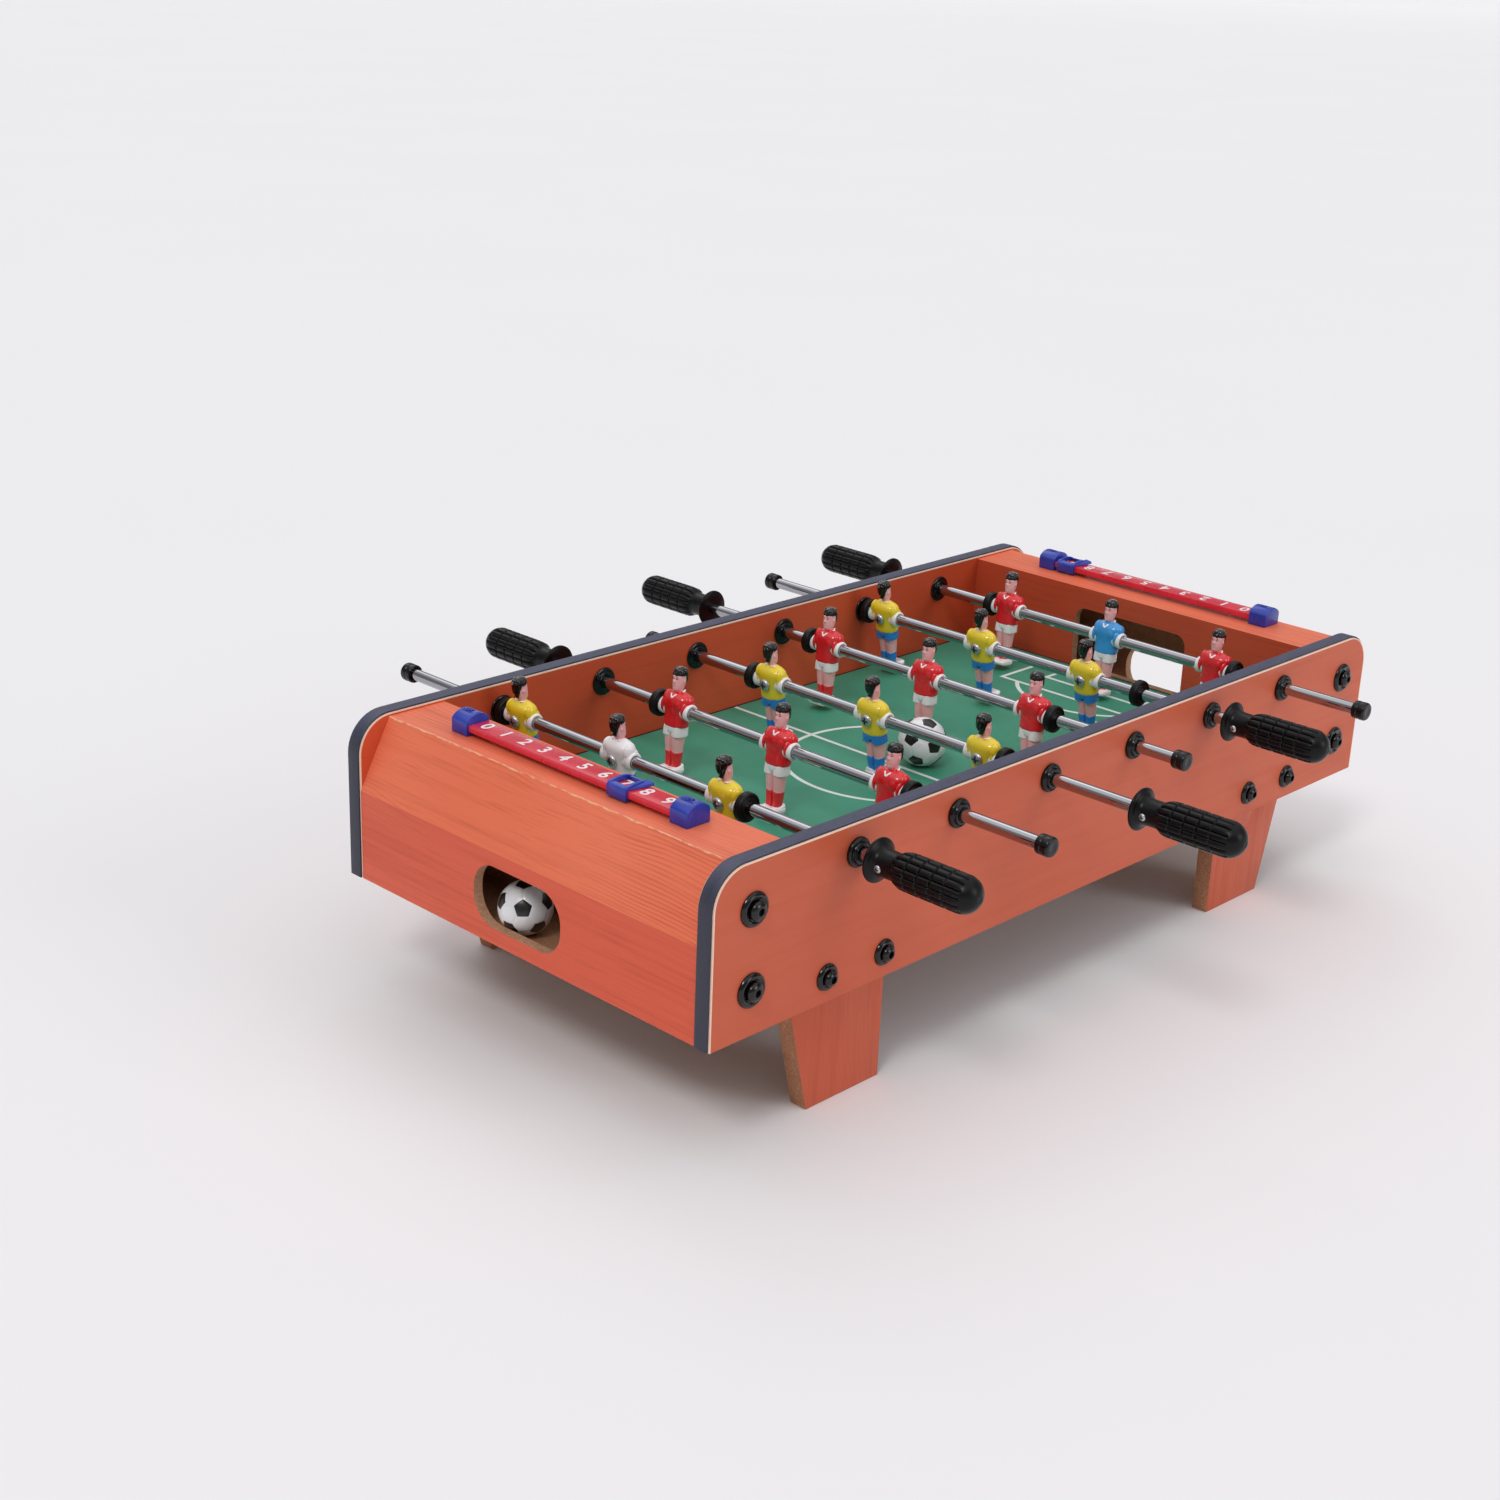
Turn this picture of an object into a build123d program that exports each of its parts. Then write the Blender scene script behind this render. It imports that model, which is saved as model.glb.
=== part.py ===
from build123d import *
from math import hypot
import os

# Tabletop foosball table. X runs along the table from the near goal (-X) to the far goal (+X),
# Y runs across it from the front side (-Y) to the back side (+Y), Z is up.
# The origin is on the floor, under the middle of the table. All sizes are in millimetres.

# ---------------------------------------------------------------------------------------------
# Driving dimensions
# ---------------------------------------------------------------------------------------------
# Cabinet
TABLE_LENGTH = 500.0
TABLE_WIDTH = 240.0
PANEL_THICKNESS = 9.0
PANEL_BOTTOM = 56.0
PANEL_TOP = 135.0
PANEL_CORNER = 18.5
BAND_THICKNESS = 0.9
BAND_WIDTH = 7.6

# Playing field
PITCH_LENGTH = 400.0
PITCH_TOP = 86.0
PITCH_THICKNESS = 3.0
GROOVE_DEPTH = 3.0

# End boxes: one board folded into an outer board, a slope, a top and a goal panel
END_INSET = 0.8
END_BOARD_THICKNESS = 5.0
SLOPE_START = 100.0
SLOPE_RUN = 17.2
END_TOP = 132.8
GOAL_WIDTH = 75.0
GOAL_TOP = 121.0
GOAL_CORNER = 7.0
EXIT_WIDTH = 58.0
EXIT_BOTTOM = 63.7
EXIT_TOP = 93.3
EXIT_CORNER = 13.5
TRAY_THICKNESS = 2.0
BLOCK_DEPTH = 15.0
BLOCK_GAP = 4.0

# Legs, measured along the panel from its end
LEG_OUTER_TOP = 57.0
LEG_OUTER_FOOT = 71.0
LEG_INNER = 118.0
LEG_TOP = 82.5
LEG_THICKNESS = 9.0

# Fasteners
CORNER_BOLT_INSET = 23.5
CORNER_BOLT_HEIGHTS = (77.1, 113.2)
LEG_BOLT_INSETS = (69.7, 106.3)
LEG_BOLT_HEIGHT = 67.9
CORNER_BOLT = {"washer": 7.8, "head": 4.4, "shank": 2.45, "nut": 3.6, "reach": 19.0}
LEG_BOLT = {"washer": 6.2, "head": 3.6, "shank": 1.95, "nut": 3.0, "reach": 16.5}
WASHER_THICKNESS = 2.0
HEAD_HEIGHT = 2.6
SOCKET_ACROSS_FLATS = 3.0
NUT_LENGTH = 7.5
HOLE_CLEARANCE = 0.15

# Rods and what they carry. A rod's own Y starts at its middle man and its handle is at -Y.
ROD_SPACING = 66.0
ROD_HEIGHT = 121.0
ROD_RADIUS = 3.0
ROD_WALL = 0.7
RUNNING_CLEARANCE = 0.05
REST_SLIDES = (26.0, -12.3, -13.0, 8.7, 25.3, -10.0)
FORWARD_LEANS = (8.0, 4.0, 8.0, 1.0, 10.0, 3.0)
MAN_SPACING = 69.0
HUB_RADIUS = 4.8
HUB_HALF_LENGTH = 10.0
FOOT_REACH = 32.3
HEAD_TOP = 21.5
RING_RADIUS = 6.85
RING_THICKNESS = 4.0
RING_GAP = 0.15
LOOSE_RING_OUTER_FACE = -79.0
HANDLE_START = 157.0
HANDLE_LENGTH = 54.5
HANDLE_FLANGE_RADIUS = 10.0
HANDLE_NECK_RADIUS = 6.3
HANDLE_GRIP_RADIUS = 8.4
HANDLE_BORE_DEPTH = 41.0
HANDLE_SCREW_OFFSET = 5.5
CAP_START = 152.6
CAP_LENGTH = 7.2
CAP_RADIUS = 4.7
CAP_BORE_DEPTH = 5.4
SCREW_SHANK_RADIUS = 1.2
SCREW_HEAD_RADIUS = 2.9
SCREW_HEAD_HEIGHT = 1.7

# Bushings
BUSHING_FLANGE_RADIUS = 6.9
BUSHING_FLANGE_THICKNESS = 2.4
BUSHING_COLLAR_RADIUS = 4.9
BUSHING_COLLAR_HEIGHT = 0.8
BUSHING_SLEEVE_RADIUS = 4.3
LOCK_RING_THICKNESS = 1.8

# Score counters: a bar between two blocks on top of each end box, with a sliding window
RAIL_X = (-216.0, 221.5)
RAIL_HALF_LENGTH = 66.2
BAR_WIDTH = 11.5
BAR_BOTTOM = 134.9
BAR_TOP = 138.2
BLOCK_WIDTH = 13.5
BLOCK_LENGTH = 10.8
BLOCK_SHOULDER = 139.6
BLOCK_CROWN = 142.8
SLIDER_Y = (-34.0, 58.0)
SLIDER_WIDTH = 15.4
SLIDER_LENGTH = 12.0
SLIDER_BOTTOM = 133.6
SLIDER_TOP = 140.8
SLIDER_WALL = 1.6
SLIDER_PLAY = 0.2
WINDOW_SIZE = 8.4
FINGER_TAB = 3.0

# Balls
BALL_RADIUS = 12.5
PITCH_BALL_X = 6.2
PITCH_BALL_Y = -12.6
TRAY_BALL_Y = 12.0

# Positions that follow from the driving dimensions
HALF_LENGTH = TABLE_LENGTH / 2
HALF_WIDTH = TABLE_WIDTH / 2
INNER_FACE = HALF_WIDTH - PANEL_THICKNESS
GOAL_FACE = PITCH_LENGTH / 2
END_FACE = HALF_LENGTH - END_INSET
ROD_X = [ROD_SPACING * (i - 2.5) for i in range(6)]
TRAY_TOP = PANEL_BOTTOM + TRAY_THICKNESS
BORE_RADIUS = ROD_RADIUS + RUNNING_CLEARANCE


# ---------------------------------------------------------------------------------------------
# Helpers
# ---------------------------------------------------------------------------------------------
def cross_cylinder(radius, y0, y1, x=0.0, z=0.0):
    """A cylinder whose axis runs along Y from y0 to y1."""
    return Pos(x, (y0 + y1) / 2, z) * Rot(90, 0, 0) * Cylinder(radius, abs(y1 - y0))


def long_cylinder(radius, x0, x1, y=0.0, z=0.0):
    """A cylinder whose axis runs along X from x0 to x1."""
    return Pos((x0 + x1) / 2, y, z) * Rot(0, 90, 0) * Cylinder(radius, abs(x1 - x0))


def block(x, y, z):
    """A box between pairs of limits along each axis."""
    centre = Pos(sum(x) / 2, sum(y) / 2, sum(z) / 2)
    return centre * Box(abs(x[1] - x[0]), abs(y[1] - y[0]), abs(z[1] - z[0]))


def upright_board(outline, y0, y1):
    """A sketch drawn in X and Z, made into a board that fills y0 to y1 (y0 < y1)."""
    return extrude(Plane.XZ.offset(-y1) * outline, y1 - y0)


def cross_board(outline, x0, x1):
    """A sketch drawn in Y and Z, made into a board that fills x0 to x1 (x0 < x1)."""
    return extrude(Plane.YZ.offset(x0) * outline, x1 - x0)


def polygon(*points):
    return make_face(Polyline(*points, close=True))


def outward(side, near, far):
    """Limits in Y for a part that reaches from near to far on the front (-1) or back (+1)."""
    return sorted((side * near, side * far))


def write(name, *solids):
    """Save one node: one piece, or a group of like pieces as separate solids."""
    shape = solids[0] if len(solids) == 1 else Compound(children=list(solids))
    export_step(shape, f"parts/{name}.step")


# ---------------------------------------------------------------------------------------------
# Cabinet
# ---------------------------------------------------------------------------------------------
def panel_outline(inset):
    """Side panel seen from the side: square at the bottom, rounded at both top corners."""
    top = PANEL_TOP - inset
    width = TABLE_LENGTH - 2 * inset
    plain = Pos(0, (PANEL_BOTTOM + top) / 2) * Rectangle(width, top - PANEL_BOTTOM)
    return fillet(plain.vertices().group_by(Axis.Y)[-1], PANEL_CORNER - inset)


def corner_bolt_points():
    return [
        (end * (HALF_LENGTH - CORNER_BOLT_INSET), height)
        for end in (-1, 1)
        for height in CORNER_BOLT_HEIGHTS
    ]


def leg_bolt_points():
    return [
        (end * (HALF_LENGTH - inset), LEG_BOLT_HEIGHT)
        for end in (-1, 1)
        for inset in LEG_BOLT_INSETS
    ]


def side_panel(side):
    """A long board with the pitch groove, six bushing holes and eight bolt holes."""
    y0, y1 = outward(side, INNER_FACE, HALF_WIDTH)
    panel = upright_board(panel_outline(BAND_THICKNESS), y0, y1)
    panel -= block(
        (-GOAL_FACE, GOAL_FACE),
        outward(side, INNER_FACE, INNER_FACE + GROOVE_DEPTH),
        (PITCH_TOP - PITCH_THICKNESS, PITCH_TOP),
    )
    holes = [(x, ROD_HEIGHT, BUSHING_SLEEVE_RADIUS) for x in ROD_X]
    holes += [(x, z, CORNER_BOLT["shank"] + HOLE_CLEARANCE) for x, z in corner_bolt_points()]
    holes += [(x, z, LEG_BOLT["shank"] + HOLE_CLEARANCE) for x, z in leg_bolt_points()]
    for x, z, radius in holes:
        panel -= cross_cylinder(radius, y0 - 1, y1 + 1, x, z)
    return panel


def edge_band(side):
    """The strip wrapped over both ends and the top of a side panel."""
    middle = side * (HALF_WIDTH - PANEL_THICKNESS / 2)
    strip = panel_outline(0) - panel_outline(BAND_THICKNESS)
    return upright_board(strip, middle - BAND_WIDTH / 2, middle + BAND_WIDTH / 2)


def pitch_board():
    half_width = INNER_FACE + GROOVE_DEPTH
    return block(
        (-GOAL_FACE, GOAL_FACE), (-half_width, half_width), (PITCH_TOP - PITCH_THICKNESS, PITCH_TOP)
    )


# ---------------------------------------------------------------------------------------------
# End boxes
# ---------------------------------------------------------------------------------------------
def inner_corner(before, corner, after):
    """Where the inner faces meet at a fold, one board thickness inside the outer corner."""
    normals = []
    for start, stop in ((before, corner), (corner, after)):
        dx, dz = stop[0] - start[0], stop[1] - start[1]
        length = hypot(dx, dz)
        normals.append((-dz / length, dx / length))
    (ax, az), (bx, bz) = normals
    reach = END_BOARD_THICKNESS / (1 + ax * bx + az * bz)
    return corner[0] + (ax + bx) * reach, corner[1] + (az + bz) * reach


def folded_sections():
    """The four mitred boards of the +X end box as outlines in X and Z."""
    outer = [
        (END_FACE, PANEL_BOTTOM),
        (END_FACE, SLOPE_START),
        (END_FACE - SLOPE_RUN, END_TOP),
        (GOAL_FACE, END_TOP),
        (GOAL_FACE, PANEL_BOTTOM),
    ]
    inner = [(END_FACE - END_BOARD_THICKNESS, PANEL_BOTTOM)]
    inner += [inner_corner(*outer[i : i + 3]) for i in range(3)]
    inner += [(GOAL_FACE + END_BOARD_THICKNESS, PANEL_BOTTOM)]
    return [(outer[i], outer[i + 1], inner[i + 1], inner[i]) for i in range(4)]


def folded_board(index, end):
    """Outer board 0, slope 1, top 2 or goal panel 3 of the near (-1) or far (+1) end box."""
    outline = polygon(*[(end * x, z) for x, z in folded_sections()[index]])
    return upright_board(outline, -INNER_FACE, INNER_FACE)


def rounded_opening(width, bottom, top, radius, square_bottom=False):
    """A window in Y and Z with round corners, or with round top corners only."""
    plain = Pos(0, (bottom + top) / 2) * Rectangle(width, top - bottom)
    corners = plain.vertices().group_by(Axis.Y)[-1] if square_bottom else plain.vertices()
    return fillet(corners, radius)


def end_board(end):
    """Outer board with the slot where the ball is taken out."""
    window = rounded_opening(EXIT_WIDTH, EXIT_BOTTOM, EXIT_TOP, EXIT_CORNER)
    reach = sorted((end * HALF_LENGTH, end * (HALF_LENGTH - 2 * END_BOARD_THICKNESS)))
    return folded_board(0, end) - cross_board(window, *reach)


def goal_panel(end):
    """Inner board with the goal mouth, open down to the pitch."""
    window = rounded_opening(GOAL_WIDTH, PITCH_TOP, GOAL_TOP, GOAL_CORNER, square_bottom=True)
    reach = sorted((end * (GOAL_FACE - 1), end * (GOAL_FACE + END_BOARD_THICKNESS + 1)))
    return folded_board(3, end) - cross_board(window, *reach)


def ball_tray(end):
    """Thin floor of an end box, flush with the bottom of the side panels."""
    inner, outer = GOAL_FACE + END_BOARD_THICKNESS, END_FACE - END_BOARD_THICKNESS
    return block(
        sorted((end * inner, end * outer)), (-INNER_FACE, INNER_FACE), (PANEL_BOTTOM, TRAY_TOP)
    )


def corner_block(end, side):
    """Wooden block inside an end box, cut to the slope, that the corner bolts pull on."""
    inner = GOAL_FACE + END_BOARD_THICKNESS + BLOCK_GAP
    slope_foot, slope_head = folded_sections()[1][3], folded_sections()[1][2]
    outline = polygon(
        (end * inner, TRAY_TOP),
        (end * slope_foot[0], TRAY_TOP),
        (end * slope_foot[0], slope_foot[1]),
        (end * slope_head[0], slope_head[1]),
        (end * inner, slope_head[1]),
    )
    wood = upright_board(outline, *outward(side, INNER_FACE - BLOCK_DEPTH, INNER_FACE))
    depth = CORNER_BOLT["reach"] - PANEL_THICKNESS
    for x, z in corner_bolt_points():
        if x * end > 0:
            hole = outward(side, INNER_FACE - depth - 1, INNER_FACE)
            wood -= cross_cylinder(CORNER_BOLT["nut"], *hole, x, z)
    return wood


# ---------------------------------------------------------------------------------------------
# Legs and fasteners
# ---------------------------------------------------------------------------------------------
def leg(end, side):
    """A flat leg behind the side panel, with a slanted outer edge below the panel."""
    outline = polygon(
        (end * (HALF_LENGTH - LEG_OUTER_FOOT), 0),
        (end * (HALF_LENGTH - LEG_OUTER_TOP), PANEL_BOTTOM),
        (end * (HALF_LENGTH - LEG_OUTER_TOP), LEG_TOP),
        (end * (HALF_LENGTH - LEG_INNER), LEG_TOP),
        (end * (HALF_LENGTH - LEG_INNER), 0),
    )
    wood = upright_board(outline, *outward(side, INNER_FACE - LEG_THICKNESS, INNER_FACE))
    depth = LEG_BOLT["reach"] - PANEL_THICKNESS
    for x, z in leg_bolt_points():
        if x * end > 0:
            hole = outward(side, INNER_FACE - depth - 1, INNER_FACE)
            wood -= cross_cylinder(LEG_BOLT["nut"], *hole, x, z)
    return wood


def bolt(size, side, x, z):
    """Button-headed socket bolt: the shank starts under a washer on the panel's outer face."""
    seat = HALF_WIDTH + WASHER_THICKNESS
    head = cross_cylinder(size["head"], *outward(side, seat, seat + HEAD_HEIGHT), x, z)
    crown = head.faces().sort_by(Axis.Y)[-1 if side > 0 else 0]
    head = fillet(crown.edges(), HEAD_HEIGHT * 0.45)
    socket = Plane(origin=(x, side * (seat + HEAD_HEIGHT), z), z_dir=(0, -side, 0))
    head -= extrude(socket * RegularPolygon(SOCKET_ACROSS_FLATS / 2, 6, major_radius=False), 1.6)
    shank = outward(side, HALF_WIDTH - size["reach"], seat)
    return head + cross_cylinder(size["shank"], *shank, x, z)


def washer(size, side, x, z):
    """Black cup washer with a rounded rim."""
    limits = outward(side, HALF_WIDTH, HALF_WIDTH + WASHER_THICKNESS)
    disc = cross_cylinder(size["washer"], *limits, x, z)
    rim = disc.faces().sort_by(Axis.Y)[-1 if side > 0 else 0]
    disc = fillet(rim.edges(), WASHER_THICKNESS * 0.6)
    hole = size["shank"] + HOLE_CLEARANCE
    return disc - cross_cylinder(hole, limits[0] - 1, limits[1] + 1, x, z)


def insert_nut(size, side, x, z):
    """Threaded insert pressed into the wood, around the tip of its bolt."""
    tip = HALF_WIDTH - size["reach"]
    limits = outward(side, tip, tip + NUT_LENGTH)
    body = cross_cylinder(size["nut"], *limits, x, z)
    return body - cross_cylinder(size["shank"], limits[0] - 1, limits[1] + 1, x, z)


def all_fastened(maker):
    """One piece at every corner bolt and leg bolt, on both sides of the table."""
    places = [(CORNER_BOLT, point) for point in corner_bolt_points()]
    places += [(LEG_BOLT, point) for point in leg_bolt_points()]
    return [maker(size, side, x, z) for side in (-1, 1) for size, (x, z) in places]


# ---------------------------------------------------------------------------------------------
# Bushings
# ---------------------------------------------------------------------------------------------
def bushing(side, x):
    """Flanged plastic sleeve through a side panel, with a raised collar round the rod."""
    flange_face = HALF_WIDTH + BUSHING_FLANGE_THICKNESS
    collar_face = flange_face + BUSHING_COLLAR_HEIGHT
    flange = cross_cylinder(
        BUSHING_FLANGE_RADIUS, *outward(side, HALF_WIDTH, flange_face), x, ROD_HEIGHT
    )
    rim = flange.faces().sort_by(Axis.Y)[-1 if side > 0 else 0]
    body = fillet(rim.edges(), BUSHING_FLANGE_THICKNESS * 0.5)
    body += cross_cylinder(
        BUSHING_COLLAR_RADIUS, *outward(side, HALF_WIDTH, collar_face), x, ROD_HEIGHT
    )
    sleeve = outward(side, INNER_FACE - LOCK_RING_THICKNESS, HALF_WIDTH)
    body += cross_cylinder(BUSHING_SLEEVE_RADIUS, *sleeve, x, ROD_HEIGHT)
    bore = outward(side, INNER_FACE - 5, collar_face + 1)
    return body - cross_cylinder(BORE_RADIUS, *bore, x, ROD_HEIGHT)


def lock_ring(side, x):
    """Ring snapped over the sleeve against the inner face of the panel."""
    limits = outward(side, INNER_FACE - LOCK_RING_THICKNESS, INNER_FACE)
    ring = cross_cylinder(BUSHING_FLANGE_RADIUS, *limits, x, ROD_HEIGHT)
    hole = (limits[0] - 1, limits[1] + 1)
    return ring - cross_cylinder(BUSHING_SLEEVE_RADIUS, *hole, x, ROD_HEIGHT)


# ---------------------------------------------------------------------------------------------
# Score counters
# ---------------------------------------------------------------------------------------------
def score_bar(x):
    width = (x - BAR_WIDTH / 2, x + BAR_WIDTH / 2)
    return block(width, (-RAIL_HALF_LENGTH, RAIL_HALF_LENGTH), (BAR_BOTTOM, BAR_TOP))


def score_block(x, side):
    """End block with an arched top; it lifts the bar clear of the wood."""
    half = BLOCK_WIDTH / 2
    base = Line((x - half, END_TOP), (x + half, END_TOP))
    wall = Line((x + half, END_TOP), (x + half, BLOCK_SHOULDER))
    arch = ThreePointArc((x + half, BLOCK_SHOULDER), (x, BLOCK_CROWN), (x - half, BLOCK_SHOULDER))
    other_wall = Line((x - half, BLOCK_SHOULDER), (x - half, END_TOP))
    outline = make_face(Curve() + [base, wall, arch, other_wall])
    limits = outward(side, RAIL_HALF_LENGTH, RAIL_HALF_LENGTH + BLOCK_LENGTH)
    return upright_board(outline, *limits)


def score_slider(x, y):
    """Window that hooks round the bar, with a pointed finger tab on its front side."""
    half = SLIDER_WIDTH / 2
    length = (y - SLIDER_LENGTH / 2, y + SLIDER_LENGTH / 2)
    body = block((x - half, x + half), length, (SLIDER_BOTTOM, SLIDER_TOP))
    channel = BAR_WIDTH / 2 + SLIDER_PLAY
    through = (length[0] - 1, length[1] + 1)
    body -= block((x - channel, x + channel), through, (BAR_BOTTOM - SLIDER_PLAY, BAR_TOP + SLIDER_PLAY))
    slot = channel - SLIDER_WALL
    body -= block((x - slot, x + slot), through, (SLIDER_BOTTOM - 1, BAR_BOTTOM))
    window = WINDOW_SIZE / 2
    body -= block((x - window, x + window), (y - window, y + window), (BAR_TOP, SLIDER_TOP + 1))
    tab = polygon(
        (x - half, length[0]), (x + half, length[0]), (x + half, length[0] - FINGER_TAB)
    )
    lift = BAR_TOP + SLIDER_PLAY
    return body + Pos(0, 0, lift) * extrude(tab, SLIDER_TOP - lift)


# ---------------------------------------------------------------------------------------------
# Rods. Each is made round its own axis, facing +X with its handle at -Y, and then placed.
# ---------------------------------------------------------------------------------------------
SCREW_SEAT = -5.6
MAN_POSITIONS = (-MAN_SPACING, 0.0, MAN_SPACING)


def man():
    """One player, moulded in one piece round a hub that fits on the rod."""
    chest = [
        Pos(0, 0, -8.0) * Ellipse(4.9, 6.4),
        Pos(0, 0, 2.5) * Ellipse(5.6, 8.8),
        Pos(0, 0, 8.5) * Ellipse(2.8, 3.4),
    ]
    body = loft(chest) + cross_cylinder(HUB_RADIUS, -HUB_HALF_LENGTH, HUB_HALF_LENGTH)
    thighs = Pos(0, 0, -6.0) * RectangleRounded(9.4, 12.8, 2.5)
    ankles = Pos(0, 0, -29.0) * RectangleRounded(6.2, 9.6, 1.8)
    body += loft([thighs, ankles])
    boots = block((-3.6, 8.6), (-5.8, 5.8), (-FOOT_REACH - 1, -28.4))
    body += boots & cross_cylinder(FOOT_REACH, -HUB_HALF_LENGTH, HUB_HALF_LENGTH)
    body += Pos(0, 0, 8.5) * Cylinder(2.5, 6.0)
    head_height = HEAD_TOP - 9.3
    half_face = Plane.XZ * (Ellipse(4.3, head_height / 2) & Pos(5, 0) * Rectangle(10, 20))
    body += Pos(0, 0, HEAD_TOP - head_height / 2) * revolve(half_face, Axis.Z)
    body -= cross_cylinder(BORE_RADIUS, -HUB_HALF_LENGTH - 1, HUB_HALF_LENGTH + 1)
    body -= long_cylinder(SCREW_SHANK_RADIUS + 0.1, SCREW_SEAT - 5, 4.4)
    return body - long_cylinder(SCREW_HEAD_RADIUS + 0.1, SCREW_SEAT - 5, SCREW_SEAT)


def screw(seat, head_radius, tip):
    """Pan-head screw along X, with its head's underside at seat and its tip towards +X."""
    head = long_cylinder(head_radius, seat - SCREW_HEAD_HEIGHT, seat)
    crown = head.faces().sort_by(Axis.X)[0]
    head = fillet(crown.edges(), SCREW_HEAD_HEIGHT * 0.6)
    return head + long_cylinder(SCREW_SHANK_RADIUS, seat, tip)


def rod_tube():
    """Chromed tube with a cross hole for each screw."""
    start = -HANDLE_START - HANDLE_BORE_DEPTH
    stop = CAP_START + CAP_BORE_DEPTH
    tube = cross_cylinder(ROD_RADIUS, start, stop)
    tube -= cross_cylinder(ROD_RADIUS - ROD_WALL, start - 1, stop + 1)
    for y in (*MAN_POSITIONS, -HANDLE_START - HANDLE_SCREW_OFFSET):
        tube -= Pos(0, y, 0) * long_cylinder(SCREW_SHANK_RADIUS + 0.1, -5, 5)
    return tube


def handle():
    """Moulded grip: flange, narrow neck, and a swollen grip with ring grooves and a domed end."""
    far = HANDLE_LENGTH
    dome_start = far - HANDLE_GRIP_RADIUS
    outline = Curve() + [
        Polyline(
            (0, 0),
            (HANDLE_FLANGE_RADIUS, 0),
            (HANDLE_FLANGE_RADIUS, 1.8),
            (HANDLE_NECK_RADIUS, 2.6),
            (HANDLE_NECK_RADIUS, 10.0),
            (HANDLE_GRIP_RADIUS, 14.5),
            (HANDLE_GRIP_RADIUS, dome_start),
        ),
        CenterArc((0, dome_start), HANDLE_GRIP_RADIUS, 0, 90),
        Line((0, far), (0, 0)),
    ]
    grip = revolve(make_face(outline), Axis.Y)
    for step in range(4):
        groove = Torus(HANDLE_GRIP_RADIUS + 0.4, 0.9)
        grip -= Pos(0, 20.0 + 7.0 * step, 0) * Rot(90, 0, 0) * groove
    grip -= cross_cylinder(BORE_RADIUS, -1, HANDLE_BORE_DEPTH)
    grip -= Pos(0, HANDLE_SCREW_OFFSET, 0) * long_cylinder(SCREW_SHANK_RADIUS + 0.1, 0, 10)
    return Pos(0, -HANDLE_START, 0) * Rot(0, 0, 180) * grip


def end_cap():
    cap = cross_cylinder(CAP_RADIUS, CAP_START, CAP_START + CAP_LENGTH)
    cap = fillet(cap.faces().sort_by(Axis.Y)[-1].edges(), 1.6)
    return cap - cross_cylinder(BORE_RADIUS, CAP_START - 1, CAP_START + CAP_BORE_DEPTH)


def ring(inner_face):
    """Rubber bumper ring; inner_face is its side towards the rod's middle."""
    sign = 1 if inner_face > 0 else -1
    limits = sorted((inner_face, inner_face + sign * RING_THICKNESS))
    body = cross_cylinder(RING_RADIUS, *limits)
    body = fillet(body.edges(), 0.7)
    return body - cross_cylinder(BORE_RADIUS, limits[0] - 1, limits[1] + 1)


def placed(number, piece):
    """Move a piece from a rod's own axes to its place on the table at rest."""
    turn = 0 if number % 2 else 180
    spot = Pos(ROD_X[number - 1], REST_SLIDES[number - 1], ROD_HEIGHT)
    return spot * Rot(0, 0, turn) * Rot(0, -FORWARD_LEANS[number - 1], 0) * piece


def write_rod(number):
    """Save the six nodes of one rod. Rods 1, 3 and 5 have their handles at the front."""
    seat = -HANDLE_NECK_RADIUS
    screws = [Pos(0, y, 0) * screw(SCREW_SEAT, SCREW_HEAD_RADIUS, 4.2) for y in MAN_POSITIONS]
    neck_screw = screw(seat, SCREW_HEAD_RADIUS * 0.75, ROD_RADIUS - 0.5)
    screws.append(Pos(0, -HANDLE_START - HANDLE_SCREW_OFFSET, 0) * neck_screw)
    against_man = MAN_SPACING + HUB_HALF_LENGTH + RING_GAP
    rings = [ring(against_man), ring(-against_man)]
    if number == 5:
        inner_face = LOOSE_RING_OUTER_FACE + RING_THICKNESS - REST_SLIDES[number - 1]
        write("loose_ring_5", placed(number, ring(inner_face)))
        rings.pop()
    write(f"rod_{number}", placed(number, rod_tube()))
    write(f"men_{number}", *[placed(number, Pos(0, y, 0) * man()) for y in MAN_POSITIONS])
    write(f"handle_{number}", placed(number, handle()))
    write(f"end_cap_{number}", placed(number, end_cap()))
    write(f"screws_{number}", *[placed(number, piece) for piece in screws])
    write(f"rings_{number}", *[placed(number, piece) for piece in rings])


# ---------------------------------------------------------------------------------------------
# Balls
# ---------------------------------------------------------------------------------------------
def ball(x, y, floor):
    return Pos(x, y, floor + BALL_RADIUS) * Sphere(BALL_RADIUS)


def tray_ball_x():
    """The tray ball leans on the lower lip of the exit slot, just inside the near end board."""
    lip_rise = TRAY_TOP + BALL_RADIUS - EXIT_BOTTOM
    stand_off = (BALL_RADIUS**2 - lip_rise**2) ** 0.5
    return -(END_FACE - END_BOARD_THICKNESS) + stand_off + 0.1


# ---------------------------------------------------------------------------------------------
# Write every node
# ---------------------------------------------------------------------------------------------
os.makedirs("parts", exist_ok=True)

write("side_panel_front", side_panel(-1))
write("side_panel_back", side_panel(1))
write("edge_bands", edge_band(-1), edge_band(1))
write("pitch_board", pitch_board())

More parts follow.
